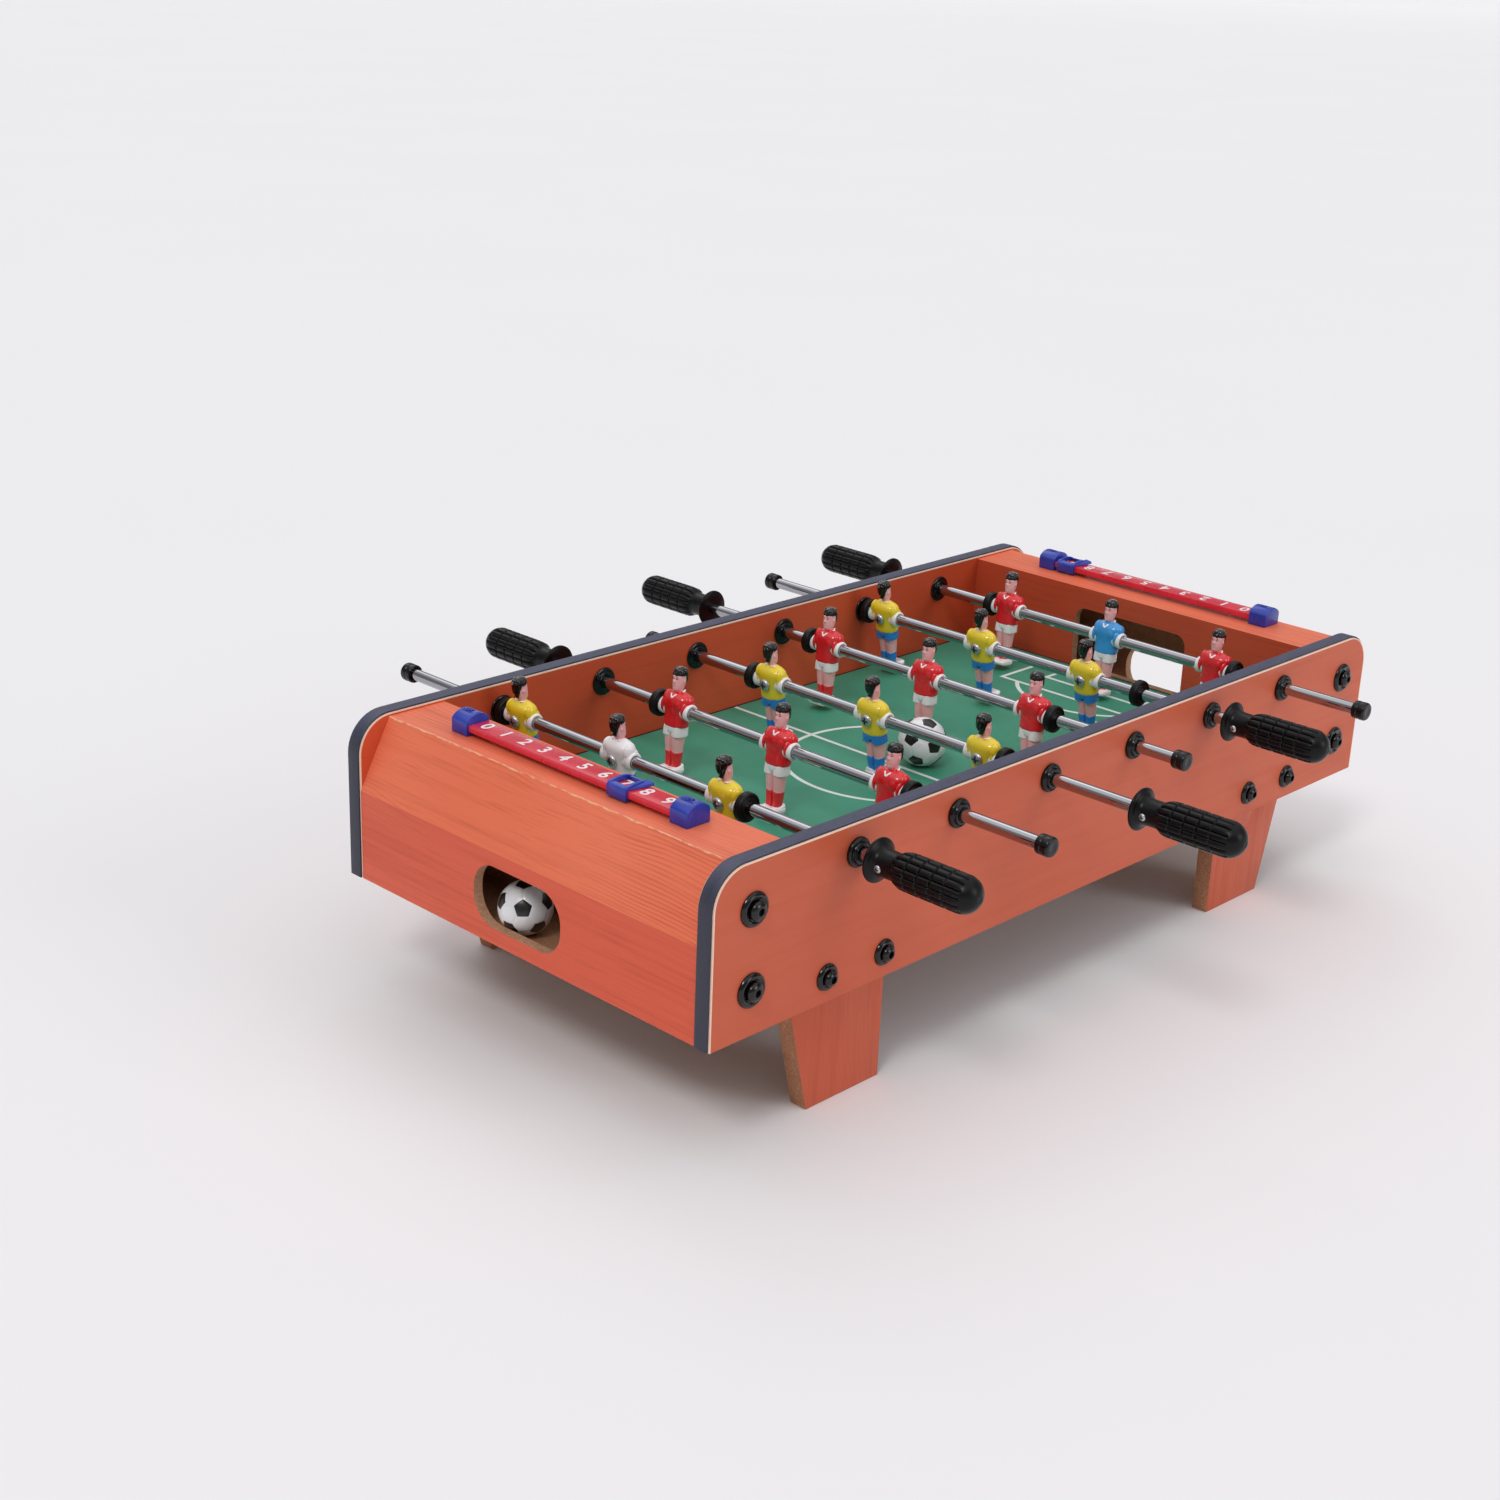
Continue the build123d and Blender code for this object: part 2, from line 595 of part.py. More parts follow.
for end_name, end_sign in (("near", -1), ("far", 1)):
    write(f"goal_panel_{end_name}", goal_panel(end_sign))
    write(f"end_board_{end_name}", end_board(end_sign))
write("end_covers", *[folded_board(index, end) for end in (-1, 1) for index in (1, 2)])
write("ball_trays", ball_tray(-1), ball_tray(1))
write("corner_blocks", *[corner_block(end, side) for end in (-1, 1) for side in (-1, 1)])
write("legs", *[leg(end, side) for end in (-1, 1) for side in (-1, 1)])

write("frame_bolts", *all_fastened(bolt))
write("bolt_washers", *all_fastened(washer))
write("insert_nuts", *all_fastened(insert_nut))
write("rod_bushings", *[bushing(side, x) for side in (-1, 1) for x in ROD_X])
write("bushing_rings", *[lock_ring(side, x) for side in (-1, 1) for x in ROD_X])

write("score_bars", *[score_bar(x) for x in RAIL_X])
write("score_blocks", *[score_block(x, side) for x in RAIL_X for side in (-1, 1)])
write("score_slider_near", score_slider(RAIL_X[0], SLIDER_Y[0]))
write("score_slider_far", score_slider(RAIL_X[1], SLIDER_Y[1]))

for rod_number in range(1, 7):
    write_rod(rod_number)

write("pitch_ball", ball(PITCH_BALL_X, PITCH_BALL_Y, PITCH_TOP))
write("tray_ball", ball(tray_ball_x(), TRAY_BALL_Y, TRAY_TOP))
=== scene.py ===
import math
from functools import reduce

import bmesh
import bpy
import numpy as np
from mathutils import Matrix, Vector


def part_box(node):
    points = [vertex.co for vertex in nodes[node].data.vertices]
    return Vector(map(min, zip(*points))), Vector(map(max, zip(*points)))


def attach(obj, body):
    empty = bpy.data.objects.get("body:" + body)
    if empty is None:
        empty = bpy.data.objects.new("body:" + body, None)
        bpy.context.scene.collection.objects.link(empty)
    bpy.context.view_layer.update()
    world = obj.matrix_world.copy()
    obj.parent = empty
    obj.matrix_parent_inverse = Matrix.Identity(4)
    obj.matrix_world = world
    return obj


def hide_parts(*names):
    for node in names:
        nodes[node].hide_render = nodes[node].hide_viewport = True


# Tabletop foosball table. The CAD frame is in metres. Pieces that are built here are drawn in
# millimetres round their own origin, and made into metres as they are written.
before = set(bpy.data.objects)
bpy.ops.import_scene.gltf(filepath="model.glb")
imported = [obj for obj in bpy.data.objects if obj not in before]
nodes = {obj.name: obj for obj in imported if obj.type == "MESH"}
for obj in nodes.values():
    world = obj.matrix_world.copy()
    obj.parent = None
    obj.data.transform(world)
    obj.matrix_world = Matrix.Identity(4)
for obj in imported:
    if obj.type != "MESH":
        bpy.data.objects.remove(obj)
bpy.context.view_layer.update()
MM = 0.001

# ---- Sizes that the looks need, in millimetres
ROD_HEIGHT = 121.0
ROD_RADIUS = 3.05
MAN_SPACING = 69.0
FORWARD_LEANS = (8.0, 4.0, 8.0, 1.0, 10.0, 3.0)
MAN_PLACES = (-MAN_SPACING, 0.0, MAN_SPACING)
HUB_LENGTH = 10.0
RING_THICKNESS = 4.0
HANDLE_START = -157.0
CAP_START = 152.6
MAN_SCREW_SEAT = -5.6
NECK_SCREW_PLACE = (-6.1, -162.5)
PANEL_FACE = 120.0
PANEL_INNER_FACE = 111.0
BAR_X = {"near": -216.0, "far": 221.5}
BAR_TOP = 138.2
SLIDER_HALF = 6.0
BLOCK_CENTRE = 71.6
BLOCK_CROWN = 142.8
DIGIT_START = -59.6
DIGIT_PITCH = 13.13
DIGIT_SIZE = 9.8
BALL_RADIUS = 12.45
SIDES = ((-1, "front"), (1, "back"))
ENDS = ((-1, "near"), (1, "far"))


def angles(count, start=0.0):
    """Equal steps round a full turn."""
    return [2 * math.pi * i / count + start for i in range(count)]


def middle(node):
    """Middle of a CAD node's box, in millimetres."""
    low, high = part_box(node)
    return (low + high) / 2 / MM


ROD_X = [middle(f"rod_{n}").x for n in range(1, 7)]
ROD_Y = [sum(corner.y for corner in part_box(f"men_{n}")) / 2 / MM for n in range(1, 7)]


# ---- Materials
# Where foil, raw board and printed lines begin, in metres
PANEL_END, PANEL_TOP, PANEL_CORNER = 0.2491, 0.1341, 0.0176
GOAL_HALF_WIDTH, GOAL_TOP, GOAL_PANEL_BACK, UPPER_FOLD = 0.0377, 0.1212, 0.2041, 0.2320
GRAIN_PITCH = 0.0027


def linear(*rgb):
    """An sRGB colour from 0 to 255 as the linear value a shader needs."""
    out = []
    for value in rgb:
        c = value / 255
        out.append(c / 12.92 if c <= 0.04045 else ((c + 0.055) / 1.055) ** 2.4)
    return (*out, 1.0)


class Graph:
    """Builds one material's node tree from sockets, numbers and sRGB colours from 0 to 255."""

    def __init__(self, name, **shader):
        self.material = bpy.data.materials.new(name)
        self.material.use_nodes = True
        self.tree = self.material.node_tree
        self.bsdf = self.tree.nodes["Principled BSDF"]
        for key, value in shader.items():
            self.bsdf.inputs[key.replace("_", " ")].default_value = value
        coordinates = self.tree.nodes.new("ShaderNodeTexCoord")
        self.position = coordinates.outputs["Object"]
        self.x, self.y, self.z = self.parts(self.position)
        self.nx, self.ny, self.nz = self.parts(coordinates.outputs["Normal"])

    def parts(self, vector):
        split = self.tree.nodes.new("ShaderNodeSeparateXYZ")
        self.link(vector, split.inputs[0])
        return split.outputs

    def link(self, value, socket):
        if isinstance(value, bpy.types.NodeSocket):
            self.tree.links.new(value, socket)
        else:
            socket.default_value = linear(*value) if isinstance(value, tuple) else value

    def math(self, operation, a, b=0.0, c=0.0):
        node = self.tree.nodes.new("ShaderNodeMath")
        node.operation = operation
        for socket, value in zip(node.inputs, (a, b, c)):
            self.link(value, socket)
        return node.outputs[0]

    def plus(self, a, b):
        return self.math("ADD", a, b)

    def minus(self, a, b):
        return self.math("SUBTRACT", a, b)

    def size(self, value):
        return self.math("ABSOLUTE", value)

    def outward(self, slope, place):
        """How far the normal points away from the table's middle, on one axis."""
        return self.times(slope, self.math("SIGN", place))

    def below(self, value, limit, soft=0.00008):
        """1 where value is under limit, 0 over it, with a narrow soft step."""
        return self.ramp(value, limit - soft, limit + soft, 1.0, 0.0)

    def above(self, value, limit, soft=0.00008):
        return self.ramp(value, limit - soft, limit + soft)

    def ramp(self, value, low, high, out_low=0.0, out_high=1.0):
        node = self.tree.nodes.new("ShaderNodeMapRange")
        node.clamp = True
        for socket, v in zip(node.inputs, (value, low, high, out_low, out_high)):
            self.link(v, socket)
        return node.outputs[0]

    def times(self, *values):
        return reduce(lambda total, value: self.math("MULTIPLY", total, value), values)

    def either(self, *values):
        return reduce(lambda total, value: self.math("MAXIMUM", total, value), values)

    def mix(self, factor, a, b, blend="MIX"):
        node = self.tree.nodes.new("ShaderNodeMix")
        node.data_type = "RGBA"
        node.blend_type = blend
        self.link(factor, node.inputs["Factor"])
        self.link(a, node.inputs[6])
        self.link(b, node.inputs[7])
        return node.outputs[2]

    def stretched(self, scale, offset=(0.0, 0.0, 0.0)):
        node = self.tree.nodes.new("ShaderNodeMapping")
        self.link(self.position, node.inputs["Vector"])
        node.inputs["Scale"].default_value = scale
        node.inputs["Location"].default_value = offset
        return node.outputs[0]

    def noise(self, scale, detail=3.0, rough=0.55, distort=0.0, stretch=None, offset=(0, 0, 0)):
        node = self.tree.nodes.new("ShaderNodeTexNoise")
        vector = self.stretched(stretch, offset) if stretch else self.position
        self.link(vector, node.inputs["Vector"])
        node.inputs["Scale"].default_value = scale
        node.inputs["Detail"].default_value = detail
        node.inputs["Roughness"].default_value = rough
        node.inputs["Distortion"].default_value = distort
        return node.outputs[0]

    def finish(self, colour=None, roughness=None, height=None, strength=0.2, distance=0.0002):
        if colour is not None:
            self.link(colour, self.bsdf.inputs["Base Color"])
        if roughness is not None:
            self.link(roughness, self.bsdf.inputs["Roughness"])
        if height is not None:
            bump = self.tree.nodes.new("ShaderNodeBump")
            bump.inputs["Strength"].default_value = strength
            bump.inputs["Distance"].default_value = distance
            self.link(height, bump.inputs["Height"])
            self.link(bump.outputs[0], self.bsdf.inputs["Normal"])
        return self.material


def foil_grain(g, tones, stretch, across, offset, streaks):
    """Printed wood grain: thin wandering lines, fine streaks and a slow drift of tone."""
    base, dark, light = tones
    drift = g.noise(7.0, 2.0, 0.5)
    broad = g.noise(8.0, 3.0, 0.5, 0.25, stretch, offset)
    fine = g.noise(24.0, 4.0, 0.62, 0.12, stretch, offset)
    tone = g.mix(g.ramp(drift, 0.3, 0.7), base, light)
    tone = g.mix(g.ramp(broad, 0.50, 0.72, 0.0, streaks * 0.4), tone, dark)
    tone = g.mix(g.ramp(fine, 0.54, 0.74, 0.0, streaks * 0.7), tone, dark)
    gentle = tuple(3.0 if s > 1.0 else 1.0 for s in stretch)
    wander = g.times(g.noise(7.0, 2.0, 0.5, 0.0, gentle, offset), 0.030)
    phase = g.times(g.plus(across, wander), 2 * math.pi / GRAIN_PITCH)
    line = g.ramp(g.math("SINE", phase), 0.55, 0.98)
    patches = g.noise(13.0, 3.0, 0.6, 0.0, gentle, offset)
    present = g.ramp(patches, 0.46, 0.68, 0.0, streaks)
    # the lines are fainter on upright faces, which show mostly the soft streaks
    present = g.times(present, g.ramp(g.size(g.nz), 0.05, 0.4, 0.35, 1.0))
    tone = g.mix(g.times(line, present), tone, dark)
    return tone, broad, fine


def foil_finish(g, colour, streaks, pores, fibres, bare, gloss, dull=None, strength=0.14):
    """Roughness and bump of printed foil, with raw board where bare is 1."""
    rough = g.ramp(streaks, 0.3, 0.7, *gloss)
    rough = g.either(rough, g.times(bare, 0.85) if dull is None else dull)
    height = g.plus(g.times(pores, 0.5), g.times(fibres, bare, 2.0))
    return g.finish(colour, rough, height, strength)


def raw_board(g, base=(208, 160, 128), dark=(166, 120, 90)):
    """Cut fibreboard: a fine mottle of fibres."""
    fibres = g.noise(900.0, 4.0, 0.7)
    clumps = g.noise(160.0, 3.0, 0.6)
    tone = g.mix(g.ramp(fibres, 0.35, 0.7), base, dark)
    return g.mix(g.ramp(clumps, 0.4, 0.7, 0.0, 0.35), tone, dark), fibres


def outside_panel_outline(g):
    """Distance outside a panel's outline (negative inside it), round at its top corners."""
    px = g.minus(g.size(g.x), PANEL_END - PANEL_CORNER)
    pz = g.minus(g.z, PANEL_TOP - PANEL_CORNER)
    ax, az = g.either(px, 0.0), g.either(pz, 0.0)
    corner = g.math("SQRT", g.plus(g.times(ax, ax), g.times(az, az)))
    inside = g.math("MINIMUM", g.either(px, pz), 0.0)
    return g.minus(g.plus(corner, inside), PANEL_CORNER)


def panel_material():
    """Side panels: foil on both faces, a pale line at the foil's edge, raw board below."""
    g = Graph("panel_foil", Specular_IOR_Level=0.3)
    stretch = (1.0, 30.0, 30.0)
    tones = (200, 92, 62), (178, 74, 50), (208, 101, 70)
    outer, streaks, pores = foil_grain(g, tones, stretch, g.z, (0.3, 0, 0), 0.18)
    tones = (204, 78, 46), (170, 60, 36), (214, 92, 56)
    inner, _, _ = foil_grain(g, tones, stretch, g.z, (1.3, 0, 0), 0.28)
    towards_outside = g.ramp(g.outward(g.ny, g.y), -0.2, 0.2, 0.0, 1.0)
    faces = g.mix(towards_outside, inner, outer)
    edge, fibres = raw_board(g)
    bare = g.below(g.size(g.ny), 0.5, 0.05)
    rim = g.above(outside_panel_outline(g), -0.0006)
    pale = g.mix(g.noise(700.0), (255, 226, 206), (242, 204, 180))
    colour = g.mix(rim, g.mix(bare, faces, edge), pale)
    dull = g.times(g.either(bare, rim), 0.8)
    return foil_finish(g, colour, streaks, pores, fibres, bare, (0.36, 0.50), dull, 0.12)


def box_material():
    """Folded end boxes: foil outside with painted shade on its upright faces, cracked pale line at
    the upper fold, board on cut edges.
    """
    g = Graph("box_foil", Specular_IOR_Level=0.35)
    ax, upness = g.size(g.x), g.size(g.nz)
    stretch, down = (30.0, 1.0, 30.0), g.minus(ax, g.z)
    tones = (234, 114, 78), (186, 74, 48), (243, 128, 94)
    outer, streaks, pores = foil_grain(g, tones, stretch, down, (0.7, 0.2, 0), 0.58)
    # painted shade: upright faces get a darker, more orange tint than the sloped and level faces
    upright_painted_shade = g.times(g.below(upness, 0.15, 0.1), 0.9)
    outer = g.mix(upright_painted_shade, outer, (238, 188, 176), "MULTIPLY")
    tones = (204, 80, 50), (160, 56, 36), (214, 94, 62)
    deep, _, _ = foil_grain(g, tones, stretch, down, (2.7, 0.2, 0), 0.45)
    outward = g.outward(g.nx, g.x)
    faces = g.mix(g.below(outward, -0.3, 0.1), outer, deep)
    edge, fibres = raw_board(g)
    cut = g.below(g.plus(g.size(g.nx), upness), 0.7, 0.05)
    # the rim of the goal mouth, and the boards' undersides and hidden faces
    goal_rim = g.times(
        g.below(g.size(g.nx), 0.3, 0.05),
        g.below(g.size(g.y), GOAL_HALF_WIDTH),
        g.below(g.z, GOAL_TOP),
    )
    under = g.below(g.nz, -0.6, 0.05)
    level = g.below(g.nz, 0.4, 0.1)
    past_goal = g.above(ax, GOAL_PANEL_BACK)
    inside_far = g.times(past_goal, g.below(outward, 0.0, 0.1), level)
    inside_near = g.times(past_goal, g.below(ax, GOAL_PANEL_BACK + 0.0018), level)
    bare = g.either(cut, goal_rim, under, inside_far, inside_near)
    wobble = g.times(g.minus(g.noise(120.0, 4.0), 0.5), 0.0012)
    from_fold = g.size(g.plus(g.minus(ax, UPPER_FOLD), wobble))
    at_fold = g.times(g.below(from_fold, 0.00020, 0.00012), g.above(g.z, 0.1300))
    broken = g.ramp(g.noise(180.0, 4.0), 0.40, 0.52, 0.15, 0.9)
    colour = g.mix(bare, faces, edge)
    colour = g.mix(g.times(at_fold, broken), colour, (250, 200, 158))
    return foil_finish(g, colour, streaks, pores, fibres, bare, (0.34, 0.48))


def leg_material():
    """Legs: upright grain on the outer face, raw board on the edges and the inner face."""
    g = Graph("leg_foil", Specular_IOR_Level=0.3)
    tones = (200, 92, 64), (160, 66, 44), (210, 104, 74)
    stretch = (30.0, 30.0, 1.0)
    outer, streaks, pores = foil_grain(g, tones, stretch, g.x, (0.1, 0, 0.4), 0.45)
    edge, fibres = raw_board(g, (196, 140, 106), (146, 98, 72))
    bare = g.below(g.outward(g.ny, g.y), 0.7, 0.05)
    colour = g.mix(bare, outer, edge)
    return foil_finish(g, colour, streaks, pores, fibres, bare, (0.38, 0.52))


def board_material(name, base, dark):
    """Raw board or wood all over."""
    g = Graph(name)
    tone, fibres = raw_board(g, base, dark)
    return g.finish(tone, g.ramp(fibres, 0.3, 0.7, 0.75, 0.9), fibres, 0.3)


def band_material():
    """Edge band: dark grey-violet strip with fine lengthwise scuffs and painted shade on its
    upright faces.
    """
    g = Graph("edge_band")
    scuffs = g.noise(90.0, 4.0, 0.65, 0.2, (1.0, 4.0, 1.0))
    grain = g.noise(700.0, 2.0)
    worn = g.ramp(scuffs, 0.4, 0.75)
    colour = g.mix(worn, (66, 68, 90), (80, 82, 106))
    colour = g.mix(g.ramp(grain, 0.5, 0.8, 0.0, 0.4), colour, (44, 42, 56))
    # painted shade: the upright faces of the band are darkened
    upright_painted_shade = g.below(g.size(g.nz), 0.6, 0.3)
    colour = g.mix(upright_painted_shade, colour, (180, 180, 182), "MULTIPLY")
    return g.finish(colour, g.ramp(scuffs, 0.3, 0.7, 0.42, 0.6), grain, 0.12)


HALF_LINE = 0.00115
HALFWAY_SHIFT = 0.0040
CIRCLE_RADIUS = 0.0535
# Goal and penalty areas: distance of the front line from the middle, and half width
AREAS = ((0.1505, 0.0490), (0.1695, 0.0320))
AREA_BACK = 0.1785
ARC_CENTRE, ARC_RADIUS = 0.1755, 0.0455
BORDER_Y, BORDER_X = 0.1096, 0.1986


def pitch_material():
    """Printed pitch: green card with white lines and a black border."""
    g = Graph("pitch_green", Coat_Weight=0.05, Coat_Roughness=0.4)
    mottle = g.noise(26.0, 4.0, 0.6)
    weave = g.noise(900.0, 2.0)
    blotch = g.ramp(mottle, 0.3, 0.7)
    green = g.mix(blotch, (50, 140, 110), (66, 154, 126))
    green = g.mix(g.ramp(weave, 0.45, 0.8, 0.0, 0.25), green, (90, 150, 126))
    ax, ay = g.size(g.x), g.size(g.y)

    def on_line(value, place):
        return g.below(g.size(g.minus(value, place)), HALF_LINE)

    def reach(x):
        return g.math("SQRT", g.plus(g.times(x, x), g.times(g.y, g.y)))

    from_halfway = g.plus(g.x, HALFWAY_SHIFT)
    marks = [g.below(g.size(from_halfway), HALF_LINE), on_line(reach(from_halfway), CIRCLE_RADIUS)]
    for front, half_width in AREAS:
        marks.append(g.times(on_line(ax, front), g.below(ay, half_width + HALF_LINE)))
        marks.append(g.times(on_line(ay, half_width), g.above(ax, front), g.below(ax, AREA_BACK)))
    arc = on_line(reach(g.minus(ax, ARC_CENTRE)), ARC_RADIUS)
    marks.append(g.times(arc, g.below(ax, AREAS[0][0])))
    wear = g.ramp(weave, 0.4, 0.8, 0.0, 0.2)
    white = g.mix(wear, (232, 240, 236), (180, 205, 195))
    colour = g.mix(g.either(*marks), green, white)
    border = g.either(g.above(ay, BORDER_Y), g.above(ax, BORDER_X))
    colour = g.mix(border, colour, (16, 20, 20))
    raw, _ = raw_board(g, (150, 116, 90), (110, 82, 60))
    colour = g.mix(g.below(g.nz, 0.5, 0.05), colour, raw)
    return g.finish(colour, g.ramp(mottle, 0.3, 0.7, 0.48, 0.62), weave, 0.08)


def plastic(name, rgb, rough=0.3, vary=10, coat=0.0, bump=0.05, specular=0.5):
    """Moulded or painted plastic with a slight drift of tone and a fine skin."""
    g = Graph(name, Coat_Weight=coat, Coat_Roughness=0.06, Specular_IOR_Level=specular)
    drift = g.noise(60.0, 3.0)
    skin = g.noise(1500.0, 2.0)
    darker = tuple(max(0, c - vary) for c in rgb)
    lighter = tuple(min(255, c + vary * 0.5) for c in rgb)
    colour = g.mix(g.ramp(drift, 0.3, 0.7), darker, lighter)
    roughness = g.ramp(drift, 0.3, 0.7, max(0.04, rough - 0.06), rough + 0.08)
    return g.finish(colour, roughness, skin, bump, 0.0001)


def metal(name, rgb, rough, stretch=(1.0, 1.0, 1.0), bump=0.03, metallic=1.0):
    """Bright metal with faint marks that change its gloss."""
    g = Graph(name, Metallic=metallic)
    marks = g.noise(300.0, 3.0, 0.6, 0.0, stretch)
    colour = g.mix(marks, rgb, tuple(int(c * 0.82) for c in rgb))
    roughness = g.ramp(marks, 0.3, 0.7, rough * 0.7, rough * 1.5)
    return g.finish(colour, roughness, marks, bump, 0.00005)


M = {
    "panel": panel_material(),
    "box": box_material(),
    "leg": leg_material(),
    "tray": board_material("tray_board", (190, 140, 104), (150, 104, 74)),
    "block": board_material("block_wood", (206, 172, 128), (170, 132, 90)),
    "band": band_material(),
    "pitch": pitch_material(),
    "chrome": metal("chrome", (188, 188, 194), 0.075, (1.0, 0.05, 1.0), 0.015),
    "zinc": metal("zinc", (216, 219, 224), 0.28, metallic=0.8),
    "zinc_shadow": metal("zinc_shadow", (84, 86, 92), 0.45),
    "black_bolt": plastic("black_bolt", (8, 8, 10), 0.16, 4),
    "black_moulded": plastic("black_moulded", (9, 9, 11), 0.18, 4, specular=0.4),
    "grip": plastic("grip_plastic", (9, 9, 12), 0.30, 4, bump=0.10, specular=0.22),
    "rubber": plastic("black_rubber", (13, 13, 15), 0.40, 5, bump=0.2, specular=0.3),
    "score_red": plastic("score_red", (222, 42, 66), 0.25, 10, 0.2),
    "score_blue": plastic("score_blue", (36, 60, 172), 0.30, 8, 0.15),
    "digit": plastic("digit_white", (244, 240, 240), 0.35, 6),
    "yellow": plastic("shirt_yellow", (252, 222, 50), 0.24, 8, 0.55),
    "red": plastic("shirt_red", (234, 34, 44), 0.24, 12, 0.55),
    "sky": plastic("shirt_sky", (58, 160, 232), 0.24, 10, 0.55),
    "white": plastic("moulded_white", (252, 250, 252), 0.26, 5, 0.4),
    "blue": plastic("kit_blue", (46, 134, 222), 0.26, 10, 0.4),
    "skin": plastic("skin_pink", (255, 186, 188), 0.34, 8, 0.1),
    "hair": plastic("hair_black", (5, 5, 6), 0.13, 3, 0.8, specular=0.3),
    "face_paint": plastic("face_paint", (96, 40, 44), 0.4, 8),
    "ball_white": plastic("ball_white", (236, 237, 240), 0.30, 8, 0.2),
    "ball_black": plastic("ball_black", (22, 22, 25), 0.30, 6, 0.2),
}


# ---- Mesh helpers
class Shell:
    """Collects vertices and faces in millimetres, with a material for each face."""

    def __init__(self):
        self.points, self.faces, self.slots, self.used = [], [], [], []

    def slot(self, key):
        if key not in self.used:
            self.used.append(key)
        return self.used.index(key)

    def add(self, points, faces, key):
        start = len(self.points)
        self.points.extend(tuple(p) for p in points)
        self.faces.extend(tuple(start + i for i in face) for face in faces)
        self.slots.extend([self.slot(key)] * len(faces))

    def rings(self, rings, key, cap_start=True, cap_end=True):
        """Joins a list of equal closed loops into a skin, with or without end faces."""
        count = len(rings[0])
        faces = []
        for i in range(len(rings) - 1):
            a, b = i * count, (i + 1) * count
            for j in range(count):
                k = (j + 1) % count
                faces.append((a + j, a + k, b + k, b + j))
        if cap_start:
            faces.append(tuple(reversed(range(count))))
        if cap_end:
            last = (len(rings) - 1) * count
            faces.append(tuple(range(last, last + count)))
        self.add([p for ring in rings for p in ring], faces, key)

    def mesh(self, name, smooth_angle=40.0):
        data = bpy.data.meshes.new(name)
        points = [(x * MM, y * MM, z * MM) for x, y, z in self.points]
        data.from_pydata(points, [], self.faces)
        for key in self.used:
            data.materials.append(M[key])
        data.polygons.foreach_set("material_index", self.slots)
        tidy = bmesh.new()
        tidy.from_mesh(data)
        bmesh.ops.recalc_face_normals(tidy, faces=tidy.faces)
        for face in tidy.faces:
            face.smooth = True
        limit = math.radians(smooth_angle)
        for edge in tidy.edges:
            sharp = len(edge.link_faces) == 2 and edge.calc_face_angle(0.0) > limit
            edge.smooth = not sharp
        tidy.to_mesh(data)
        tidy.free()
        return data


def new_object(name, data):
    item = bpy.data.objects.new(name, data)
    bpy.context.scene.collection.objects.link(item)
    return item


def coat(data, key):
    """Gives a mesh one material all over."""
    data.materials.clear()
    data.materials.append(M[key])


def evaluated_mesh(item):
    """The mesh of an object with its modifiers worked in, or of a text."""
    bpy.context.view_layer.update()
    depsgraph = bpy.context.evaluated_depsgraph_get()
    return bpy.data.meshes.new_from_object(item.evaluated_get(depsgraph))


TURNED = {}


def turned_copy(data, place):
    """The mesh with a place's turn worked into it, shared by the pieces that turn alike."""
    turn = place.to_3x3()
    key = (data.name, *(round(v, 5) for row in turn for v in row))
    if key not in TURNED:
        TURNED[key] = data.copy()
        TURNED[key].transform(turn.to_4x4())
    return TURNED[key]


def piece(name, data, body, replaces=(), where=None):
    """Places a mesh, rides it on its body and hides the nodes it stands for."""
    if where is not None:
        data = turned_copy(data, where)
    item = new_object(name, data)
    if where is not None:
        item.location = where.translation
    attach(item, body)
    if replaces:
        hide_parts(*replaces)
    return item


def curve_through(keys, count):
    """Smooth rows between key rows: first column is the parameter, all columns are returned."""
    keys = np.array(keys, float)
    t = keys[:, 0]
    at = np.linspace(t[0], t[-1], count)
    slopes = np.gradient(keys[:, 1:], t, axis=0)
    rows = []
    for value in at:
        i = min(max(np.searchsorted(t, value) - 1, 0), len(t) - 2)
        h = t[i + 1] - t[i]
        s = (value - t[i]) / h
        a, b = keys[i, 1:], keys[i + 1, 1:]
        blend = s * s * (3 - 2 * s)
        ease_a = s * (1 - s) ** 2 * h * slopes[i]
        ease_b = s * s * (s - 1) * h * slopes[i + 1]
        limit = 0.35 * np.abs(b - a)
        nudge = np.clip(ease_a + ease_b, -limit, limit)
        rows.append(np.concatenate(([value], a + (b - a) * blend + nudge)))
    return rows


def superellipse(cx, cy, z, hx, hy, power, count):
    """A closed loop at height z; power 2 is an ellipse and more is squarer."""
    loop = []
    for a in angles(count):
        c, s = math.cos(a), math.sin(a)
        x = math.copysign(abs(c) ** (2 / power), c)
        y = math.copysign(abs(s) ** (2 / power), s)
        loop.append((cx + hx * x, cy + hy * y, z))
    return loop


def tower(shell, keys, key, count=28, steps=24, cy=0.0):
    """A standing form from rows of (z, cx, half depth, half width, power), closed at both ends."""
    rows = curve_through(keys, steps)
    loops = [superellipse(r[1], cy, r[0], r[2], r[3], r[4], count) for r in rows]
    shell.rings(loops, key)


def ellipsoid(shell, centre, radii, key, count=20):
    loops = []
    for i in range(1, count):
        a = math.pi * i / count
        loop = []
        for b in angles(count):
            x = radii[0] * math.sin(a) * math.cos(b)
            y = radii[1] * math.sin(a) * math.sin(b)
            z = -radii[2] * math.cos(a)
            loop.append((centre[0] + x, centre[1] + y, centre[2] + z))
        loops.append(loop)
    shell.rings(loops, key)


def circle(radius, y, count):
    """A closed loop round an axis along Y."""
    return [(radius * math.cos(a), y, radius * math.sin(a)) for a in angles(count)]


def turned(shell, profile, key, count=48, closed=False):
    """Turns (y, r) points round the Y axis; a closed profile makes a ring."""
    loops = [circle(max(r, 0.001), y, count) for y, r in profile]
    if closed:
        loops.append(loops[0])
    shell.rings(loops, key, not closed, not closed)


